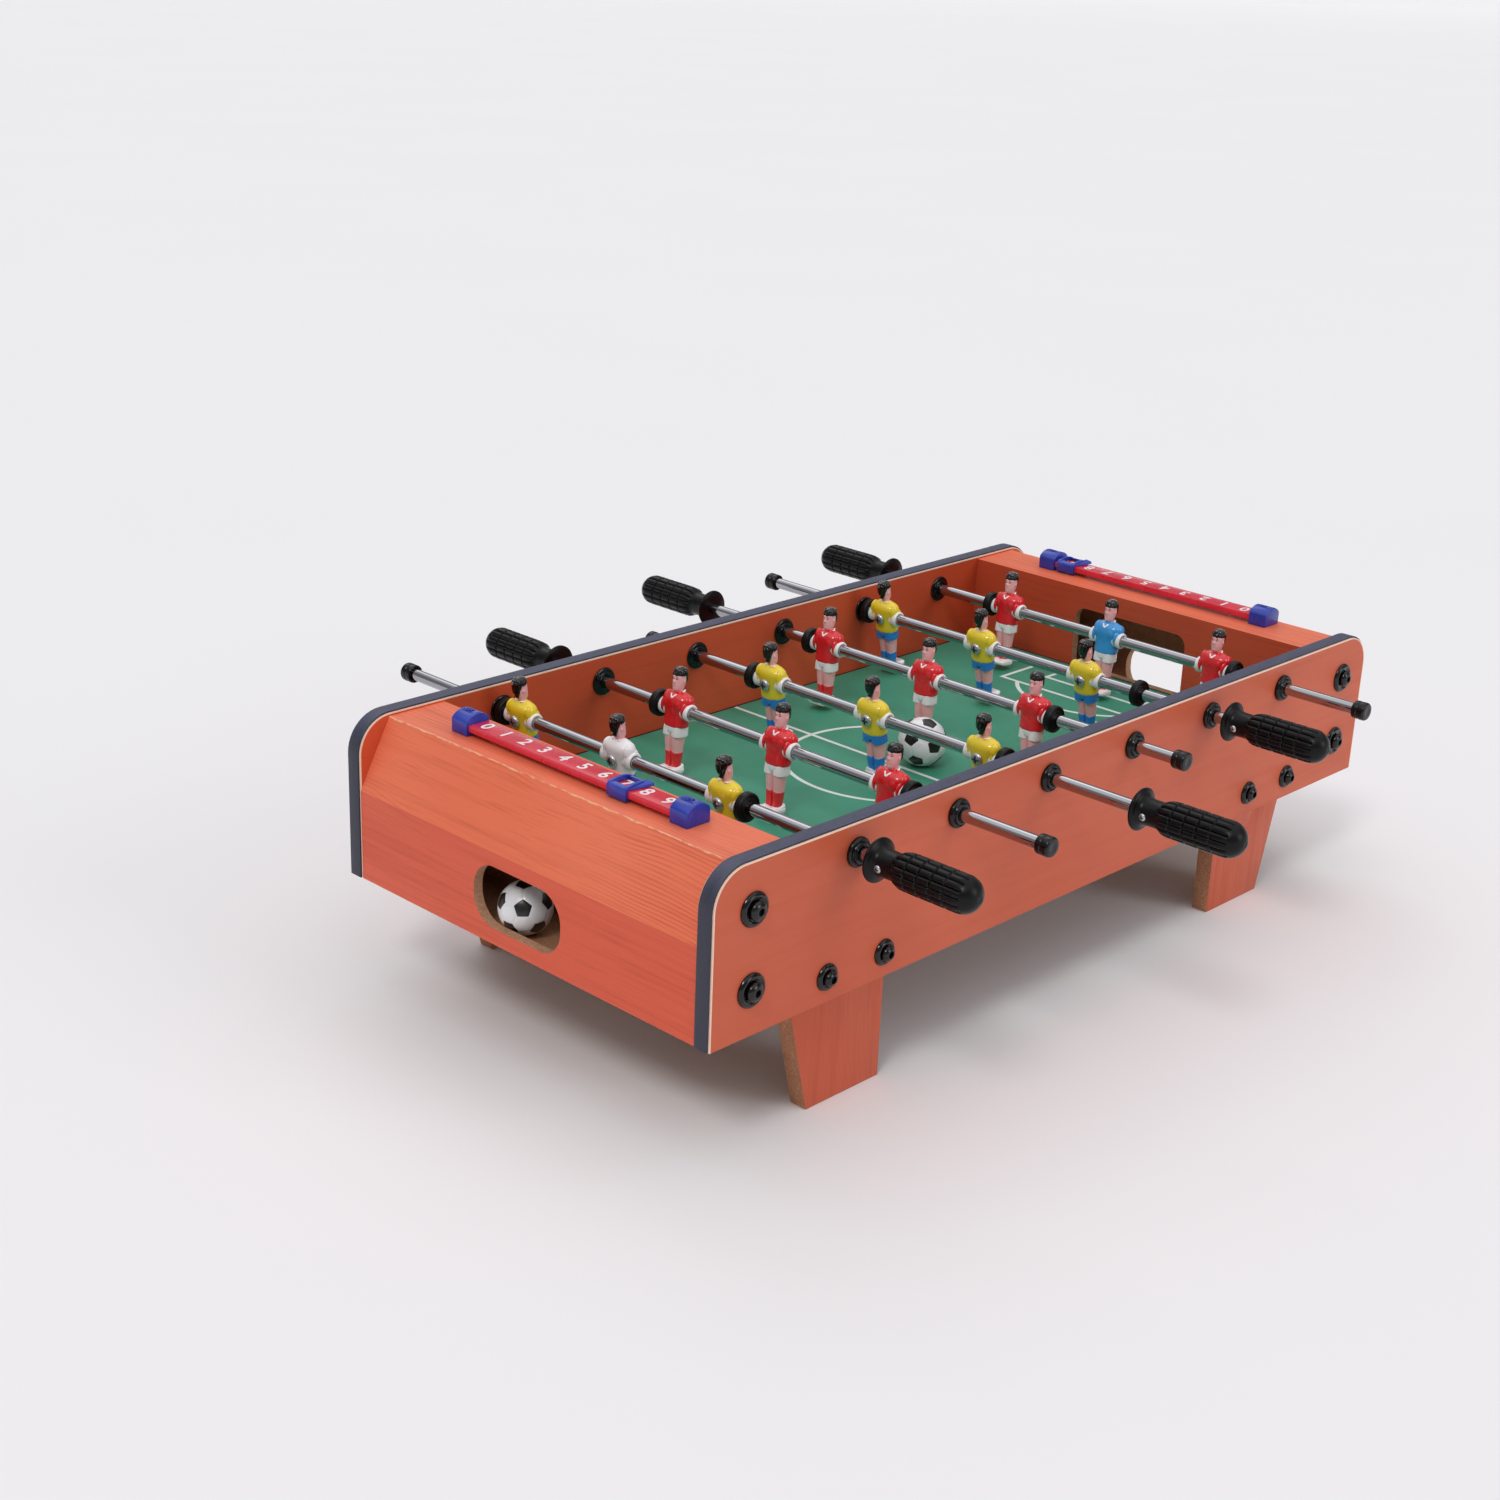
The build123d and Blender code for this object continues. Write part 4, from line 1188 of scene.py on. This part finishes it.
def slider_mesh():
    """Saddle that hooks round the score bar: arched ends, an open window and a finger tab."""
    shell = Shell()
    for side in (-1, 1):
        rail = [(4.3, 0.2), (5.9, 0.2), (5.9, -3.4), (4.6, -3.5), (4.6, -4.5), (7.0, -4.5)]
        rail += [(7.2, -4.2), (7.2, 0.5), (6.8, 1.0), (5.8, 1.5), (4.3, 1.7)]
        prism(shell, [(side * x, z) for x, z in rail], -SLIDER_HALF, SLIDER_HALF, "score_blue")
    arch = [(-7.0, 0.2), (7.0, 0.2)]
    arch += [(7.0 * math.cos(a), 0.7 + 1.88 * math.sin(a)) for a in np.linspace(0.0, math.pi, 19)]
    prism(shell, arch, 4.3, SLIDER_HALF, "score_blue")
    prism(shell, arch, -SLIDER_HALF, -4.3, "score_blue")
    lower = [(-7.1, -5.5, 0.3), (7.1, -5.5, 0.3), (7.1, -8.6, 0.3), (6.5, -8.7, 0.3)]
    upper = [(-6.6, -5.3, 1.2), (6.1, -5.3, 2.4), (7.0, -8.4, 1.6), (6.5, -8.5, 1.5)]
    shell.rings([lower, upper], "score_blue")
    return shell.mesh("score_window", 35.0)


def add_recess(blocks, centre, label):
    """Cuts a round moulding recess into a block's crown and leaves three pips on its floor."""
    cutter = Shell()
    loops = []
    for rise, r in ((-1.0, 2.0), (1.0, 2.2)):
        loops.append([(r * math.cos(a), r * math.sin(a), rise) for a in angles(32)])
    cutter.rings(loops, "score_blue")
    tool = new_object("cutter", cutter.mesh("cutter"))
    place = Matrix.Translation([c * MM for c in centre])
    tool.location = place.translation
    cut = blocks.modifiers.new("cut", "BOOLEAN")
    cut.operation = "DIFFERENCE"
    cut.solver = "EXACT"
    cut.object = tool
    data = evaluated_mesh(blocks)
    blocks.modifiers.clear()
    blocks.data = data
    bpy.data.objects.remove(tool)
    pips = Shell()
    for a in angles(3, 0.4):
        ellipsoid(pips, (math.cos(a), math.sin(a), -0.95), (0.5, 0.5, 0.5), "score_blue", 12)
    piece(f"block_pips_{label}", pips.mesh("pips"), "table", (), place)


def add_counters():
    softened("score_bars", "score_red", 0.45)
    blocks = softened("score_blocks", "score_blue", 0.5)
    for _, end in ENDS:
        for side, label in SIDES:
            centre = (BAR_X[end], side * BLOCK_CENTRE, BLOCK_CROWN)
            add_recess(blocks, centre, f"{end}_{label}")
    data = slider_mesh()
    for _, end in ENDS:
        node = f"score_slider_{end}"
        low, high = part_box(node)
        place = ((low.x + high.x) / 2, high.y - SLIDER_HALF * MM, BAR_TOP * MM)
        place = Matrix.Translation(place)
        piece(f"{end}_window", data, f"{end}_counter", [node], place)
    for end, label in ENDS:
        add_digits(end, label)


# ---- Build the object
for rod_number in range(1, 7):
    add_rod(rod_number)
add_bushings()
add_bolts()
add_balls()
add_counters()

COATS = {
    "panel": ("side_panel_front", "side_panel_back"),
    "box": ("goal_panel_near", "goal_panel_far", "end_board_near", "end_board_far", "end_covers"),
    "pitch": ("pitch_board",),
    "tray": ("ball_trays",),
    "block": ("corner_blocks",),
    "zinc": ("insert_nuts",),
}
for key, coated in COATS.items():
    for node in coated:
        coat(nodes[node].data, key)
softened("edge_bands", "band", 0.3)
softened("legs", "leg", 0.35, 2)


# ---- Stage, light and camera
def stage_material():
    g = Graph("stage", Roughness=0.9)
    soft = g.noise(2.0, 2.0)
    return g.finish(g.mix(soft, (242, 241, 243), (245, 244, 246)))


def add_stage():
    """A pale floor that curves up far behind the table."""
    far, bend = 18.0, 3.0
    profile = [(-9.0, 0.0), (far, 0.0)]
    for a in np.linspace(0.1, 1.57, 12):
        profile.append((far + bend * math.sin(a), bend - bend * math.cos(a)))
    points = [(along, run, rise) for along in (-16.0, 16.0) for run, rise in profile]
    count = len(profile)
    faces = [(i, i + 1, count + i + 1, count + i) for i in range(count - 1)]
    data = bpy.data.meshes.new("floor")
    data.from_pydata(points, [], faces)
    data.materials.append(stage_material())
    data.polygons.foreach_set("use_smooth", [True] * len(data.polygons))
    floor = new_object("floor", data)
    floor.matrix_world = Matrix.Translation((0, 0, -0.0002)) @ Matrix.Rotation(CAMERA_TURN, 4, "Z")


def add_sun(name, direction, strength, spread, colour=(1.0, 1.0, 1.0)):
    """Wide soft light that shines from a direction."""
    light = bpy.data.lights.new(name, "SUN")
    light.energy = strength
    light.angle = math.radians(spread)
    light.color = colour
    item = new_object(name, light)
    item.rotation_euler = Vector(direction).to_track_quat("Z", "Y").to_euler()


# The camera stands off the near end, to the front side, and looks down on the table.
CAMERA_TURN = math.radians(-46.415)
CAMERA_LIFT = math.radians(20.488)
CAMERA_ROLL = math.radians(2.24)
CAMERA_DISTANCE = 1.138282
CAMERA_TARGET = Vector((-0.043187, 0.060035, 0.084952))
LENS_TO_FRAME = 2220.856 / 1500.0


def add_camera():
    a, e, r = CAMERA_TURN, CAMERA_LIFT, CAMERA_ROLL
    back = Vector((math.sin(a) * math.cos(e), -math.cos(a) * math.cos(e), math.sin(e)))
    right = Vector((math.cos(a), math.sin(a), 0.0))
    up = back.cross(right)
    rolled_right = right * math.cos(r) + up * math.sin(r)
    rolled_up = up * math.cos(r) - right * math.sin(r)
    data = bpy.data.cameras.new("camera")
    data.sensor_width = 36.0
    data.lens = data.sensor_width * LENS_TO_FRAME
    data.clip_start, data.clip_end = 0.05, 60.0
    item = new_object("camera", data)
    axes = Matrix((rolled_right, rolled_up, back)).transposed().to_4x4()
    item.matrix_world = Matrix.Translation(CAMERA_TARGET + back * CAMERA_DISTANCE) @ axes
    bpy.context.scene.camera = item


add_stage()
add_camera()
add_sun("key_light", (-0.9, -0.35, 1.15), 0.66, 14, (1.0, 0.99, 0.97))
add_sun("front_light", (0.35, -1.0, 0.45), 0.50, 26)
add_sun("rim_light", (0.5, 0.9, 0.9), 0.20, 30)


def add_world():
    """Studio dome: pale at the horizon, a darker wall above it and a bright ceiling."""
    world = bpy.data.worlds.new("world")
    bpy.context.scene.world = world
    world.use_nodes = True
    tree = world.node_tree
    direction = tree.nodes.new("ShaderNodeTexCoord").outputs["Generated"]
    split = tree.nodes.new("ShaderNodeSeparateXYZ")
    tree.links.new(direction, split.inputs[0])
    ramp = tree.nodes.new("ShaderNodeValToRGB")
    tree.links.new(split.outputs[2], ramp.inputs[0])
    levels = [(0.0, 0.80), (0.04, 0.78), (0.12, 0.30), (0.55, 0.26), (0.74, 0.95), (1.0, 1.0)]
    while len(ramp.color_ramp.elements) < len(levels):
        ramp.color_ramp.elements.new(0.5)
    for element, (position, level) in zip(ramp.color_ramp.elements, levels):
        element.position = position
        element.color = (level, level, level * 1.02, 1.0)
    tree.links.new(ramp.outputs[0], tree.nodes["Background"].inputs["Color"])
    tree.nodes["Background"].inputs["Strength"].default_value = 1.0


add_world()
bpy.context.scene.view_settings.view_transform = "Standard"
